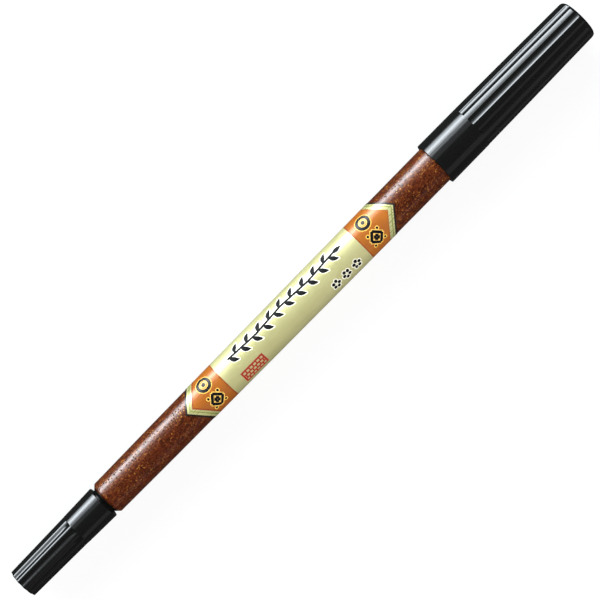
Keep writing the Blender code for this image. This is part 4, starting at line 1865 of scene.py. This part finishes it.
@dataclass
class Reservoir:
    """Ink-soaked fibre bundle and its wrap."""

    radius: float = 3.40
    wick_hole: float = 0.93
    nib_hole: float = 0.88
    wick_depth: float = 29.0
    nib_depth: float = -45.0
    wrap: float = 0.08
    press_gap: float = 0.03

    def build_core(self, finish: bpy.types.Material) -> bpy.types.Object:
        """Build the fibre bundle.

        Args:
            finish: Its fibre.

        Returns:
            The finished piece.
        """
        low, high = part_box("reservoir_core")
        fine, broad = low[0] / MM, high[0] / MM
        stops = [Stop(self.wick_depth, 0.0), Stop(self.wick_depth, self.wick_hole),
                 Stop(broad, self.wick_hole, 0.1), Stop(broad, self.radius, 0.3),
                 Stop(fine, self.radius, 0.3), Stop(fine, self.nib_hole, 0.1),
                 Stop(self.nib_depth, self.nib_hole), Stop(self.nib_depth, 0.0)]
        work = Lathe(stops, ring=False, steps=96).spin()
        return make_piece(work, "reservoir_fibre_bundle", Body.PEN, [finish],
                          ["reservoir_core"])

    def build_wrap(self, finish: bpy.types.Material) -> bpy.types.Object:
        """Build the clear wrap.

        Args:
            finish: Its film.

        Returns:
            The finished piece.
        """
        low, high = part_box("reservoir_film")
        fine, broad = low[0] / MM, high[0] / MM
        inner = self.radius + self.press_gap
        outer = inner + self.wrap
        stops = [Stop(broad, outer), Stop(fine, outer), Stop(fine, inner), Stop(broad, inner)]
        work = Lathe(stops, ring=True, steps=96).spin()
        return make_piece(work, "reservoir_wrap", Body.PEN, [finish],
                          ["reservoir_film"])


# ---------------------------------------------------------------------------------------
# Studio
# ---------------------------------------------------------------------------------------


@dataclass(frozen=True)
class Panel:
    """Long light panel that hangs parallel to the pen.

    Attributes:
        name: The light's name.
        lean: Angle from straight above towards +Y, in degrees.
        distance: How far it is from the pen.
        length: Its size along the pen.
        width: Its size across.
        power: Its power in watts.
        colour: Its colour.
        gloss: True if it shows in glossy surfaces.
    """

    name: str
    lean: float
    distance: float
    length: float
    width: float
    power: float
    colour: Colour = (1.0, 1.0, 1.0)
    gloss: bool = True


COOL_LIGHT: Colour = (0.867, 0.942, 1.0)

# The key is four nested panels, so that its reflection fades at the edges.
PANELS = (
    Panel("key_core", 66.0, 500.0, 900.0, 120.0, 1.84, COOL_LIGHT),
    Panel("key_middle", 67.0, 505.0, 950.0, 290.0, 3.58, COOL_LIGHT),
    Panel("key_wide", 63.0, 510.0, 1000.0, 510.0, 3.2, COOL_LIGHT),
    Panel("key_broad", 48.0, 520.0, 1100.0, 760.0, 0.75, COOL_LIGHT),
    Panel("back_strip", -72.0, 600.0, 900.0, 300.0, 0.12),
    Panel("overhead_fill", -16.0, 900.0, 1200.0, 900.0, 7.2, gloss=False),
    Panel("low_fill", -56.0, 700.0, 1000.0, 400.0, 3.4, gloss=False),
)


@dataclass
class Studio:
    """Camera straight above the pen, long soft lights beside it, and a pale floor."""

    height: float = 490.0
    view_width: float = 134.7
    sensor: float = 36.0
    roll: float = 45.505
    aim_aside: float = 0.30
    floor_side: float = 2600.0
    cove_foot: float = 1200.0
    cove_reach: float = 2500.0
    cove_bend: float = 600.0
    cove_drop: float = 0.2
    cove_facet: int = 10
    cove_steps: int = 96
    floor_drop: float = 0.1
    room_colour: Colour = (0.8, 0.82, 0.85)
    room_strength: float = 0.05
    near_clip: float = 0.01
    far_clip: float = 10.0

    def add_camera(self) -> None:
        """Place the camera so that the pen runs up to the right."""
        data = bpy.data.cameras.new("camera")
        data.sensor_width = self.sensor
        data.lens = self.sensor * self.height / self.view_width
        data.clip_start, data.clip_end = self.near_clip, self.far_clip
        camera = bpy.data.objects.new("camera", data)
        camera.location = (0.0, self.aim_aside * MM, self.height * MM)
        camera.rotation_euler = (0.0, 0.0, -math.radians(self.roll))
        bpy.context.scene.collection.objects.link(camera)
        bpy.context.scene.camera = camera

    def add_floor(self, finish: bpy.types.Material) -> None:
        """Lay the floor under the pen.

        Args:
            finish: Its material.
        """
        work = bmesh.new()
        bmesh.ops.create_grid(work, x_segments=8, y_segments=8, size=self.floor_side / 2 * MM)
        level = CAD_BOX[0][2] - self.floor_drop * MM
        bmesh.ops.translate(work, verts=list(work.verts), vec=(0.0, 0.0, level))
        mesh = bpy.data.meshes.new("floor")
        work.to_mesh(mesh)
        work.free()
        mesh.materials.append(finish)
        floor = bpy.data.objects.new("floor", mesh)
        floor.visible_glossy = False
        bpy.context.scene.collection.objects.link(floor)

    def add_cove(self, finish: bpy.types.Material) -> None:
        """Stand a pale cove round the floor, as the ground of low views. It bounces no light.

        Args:
            finish: Its material.
        """
        level = CAD_BOX[0][2] / MM - self.cove_drop
        flat_end = self.cove_reach - self.cove_bend
        profile = [(self.cove_foot, level), (flat_end, level)]
        for degrees in range(self.cove_facet, 90 + self.cove_facet, self.cove_facet):
            angle = math.radians(degrees)
            profile.append((flat_end + self.cove_bend * math.sin(angle),
                            level + self.cove_bend * (1.0 - math.cos(angle))))
        profile.append((self.cove_reach, self.cove_reach))
        work = bmesh.new()
        verts = [work.verts.new((reach * MM, 0.0, rise * MM)) for reach, rise in profile]
        edges = [work.edges.new(pair) for pair in zip(verts, verts[1:])]
        bmesh.ops.spin(work, geom=verts + edges, axis=(0.0, 0.0, 1.0), cent=(0.0, 0.0, 0.0),
                       angle=math.tau, steps=self.cove_steps, use_merge=True)
        bmesh.ops.reverse_faces(work, faces=[face for face in work.faces
                                             if face.normal.dot(face.calc_center_median()) > 0.0])
        mesh = bpy.data.meshes.new("cove")
        work.to_mesh(mesh)
        work.free()
        mesh.materials.append(finish)
        cove = bpy.data.objects.new("cove", mesh)
        cove.visible_glossy = False
        cove.visible_diffuse = False
        cove.visible_shadow = False
        bpy.context.scene.collection.objects.link(cove)

    def add_panel(self, panel: Panel) -> None:
        """Hang a light panel.

        Args:
            panel: What it is like.
        """
        data = bpy.data.lights.new(panel.name, "AREA")
        data.shape = "RECTANGLE"
        data.size, data.size_y = panel.length * MM, panel.width * MM
        data.energy = panel.power
        data.color = panel.colour
        light = bpy.data.objects.new(panel.name, data)
        angle, reach = math.radians(panel.lean), panel.distance * MM
        light.location = (0.0, reach * math.sin(angle), reach * math.cos(angle))
        light.rotation_euler = Euler((-angle, 0.0, 0.0))
        light.visible_glossy = panel.gloss
        light.visible_camera = False
        bpy.context.scene.collection.objects.link(light)

    def add_room(self) -> None:
        """Surround the studio with a dim room."""
        world = bpy.data.worlds.new("dim_room")
        world.use_nodes = True
        background = world.node_tree.nodes["Background"]
        background.inputs["Color"].default_value = (*self.room_colour, 1.0)
        background.inputs["Strength"].default_value = self.room_strength
        bpy.context.scene.world = world
        bpy.context.scene.view_settings.view_transform = "Standard"

    def build(self) -> None:
        """Set up the camera, the floor, the lights and the room."""
        self.add_camera()
        pale = PaleFloor().build()
        self.add_floor(pale)
        self.add_cove(pale)
        for panel in PANELS:
            self.add_panel(panel)
        self.add_room()
        LOG.info("studio ready")


# ---------------------------------------------------------------------------------------
# Assembly
# ---------------------------------------------------------------------------------------


def zone_finishes() -> list[bpy.types.Material]:
    """Return the label's materials in the order of its zones."""
    foils = {
        Zone.OUTLINE: LabelFoil("label_outline", (0.006, 0.003, 0.002), (0.014, 0.007, 0.005),
                                metal=0.0),
        Zone.PALE_GOLD: LabelFoil("label_pale_gold", (0.66, 0.64, 0.26), (0.78, 0.76, 0.36),
                                  metal=0.6, rough=0.3),
        Zone.OLIVE: LabelFoil("label_olive", (0.24, 0.27, 0.05), (0.31, 0.34, 0.07),
                              metal=0.45),
        Zone.RUSSET: LabelFoil("label_russet", (0.30, 0.050, 0.008), (0.36, 0.075, 0.012),
                               metal=0.3),
        Zone.ORANGE: LabelFoil("label_orange", (0.37, 0.100, 0.005), (0.44, 0.130, 0.010),
                               metal=0.2),
        Zone.CREAM: LabelFoil("label_cream", (0.60, 0.57, 0.262), (0.695, 0.66, 0.33),
                              metal=0.5, rough=0.42),
    }
    return [foils[zone].build() for zone in Zone]


def build_label(barrel: Barrel) -> None:
    """Build the label and everything printed on it.

    Args:
        barrel: The tube it lies on.
    """
    label, art = Label(barrel), LabelArt()
    label.build_sleeve(zone_finishes())
    front, ends = art.sprig() + art.blossoms(), art.end_marks(-28.6) + art.end_marks(22.0)
    halo = PrintInk("halo_white", (0.86, 0.85, 0.70), (0.80, 0.78, 0.60))
    gold = PrintInk("halo_gold", (0.86, 0.52, 0.09), (0.80, 0.44, 0.07))
    brushed = PrintInk("ink_brushed", (0.004, 0.004, 0.005), (0.014, 0.014, 0.016),
                       rough=0.5, shine=0.16)
    black = PrintInk("ink_black", (0.004, 0.004, 0.006), (0.010, 0.010, 0.013),
                     rough=0.3, shine=0.4)
    red = PrintInk("ink_red", (0.34, 0.017, 0.007), (0.44, 0.055, 0.024))
    label.build_marks("label_front_halo", front, halo.build(), 0, spare=0.17)
    label.build_marks("label_end_halo", ends, gold.build(), 0, spare=0.17)
    label.build_marks("label_front_ink", front, brushed.build(), 1)
    label.build_marks("label_end_ink", ends, black.build(), 1)
    label.build_marks("label_seal", art.seal(), red.build(), 0)


def build_pen() -> None:
    """Build every piece of the pen, from the barrel outwards."""
    cap_black = MouldedBlack("cap_black").build()
    nose_black = MouldedBlack("section_black", gloss=0.20).build()
    barrel = Barrel()
    barrel.build(BurlLacquer().build())
    build_label(barrel)

    reservoir = Reservoir()
    fibre = SoakedFibre("ink_fibre_bundle").build()
    reservoir.build_core(fibre)
    reservoir.build_wrap(ClearWrap().build())

    fine = FineEnd()
    fine.build_section(nose_black)
    fine.build_nib(SoakedFibre("nib_fibre_rod", (0.05, 0.05, 0.06), strand=0.06, rough=0.6).build())
    fine.build_sleeve(NaturalPlastic("fine_holder_plastic", stain_span=(-50.0, -40.0)).build())

    broad = BroadEnd()
    inner_pale = NaturalPlastic("feed_plastic", stain_span=(50.0, 56.0)).build()
    broad.build_section(nose_black)
    broad.build_ring(inner_pale)
    broad.build_tube(inner_pale)
    broad.build_wick(fibre)

    brush = BrushHead()
    brush.build_root(SoakedFibre("brush_core_fibre", (0.04, 0.04, 0.045), strand=0.14).build())
    brush.build_filaments(SoakedFibre("brush_filament_gloss", (0.075, 0.072, 0.078),
                                      strand=0.2, rough=0.32, sheen=0.1).build())

    broad_cap = BroadCap()
    broad_cap.build(cap_black)
    broad_cap.build_liner(NaturalPlastic("broad_liner_plastic", stain_span=(66.0, 84.0)).build())
    fine_cap = FineCap()
    fine_cap.build(cap_black)
    fine_cap.build_liner(NaturalPlastic("fine_liner_plastic", stain_span=(90.0, 95.0)).build())


def main() -> None:
    """Build the pen and its studio."""
    logging.basicConfig(level=logging.INFO, format="%(name)s: %(message)s")
    Studio().build()
    build_pen()


if __name__ == "__main__":
    main()
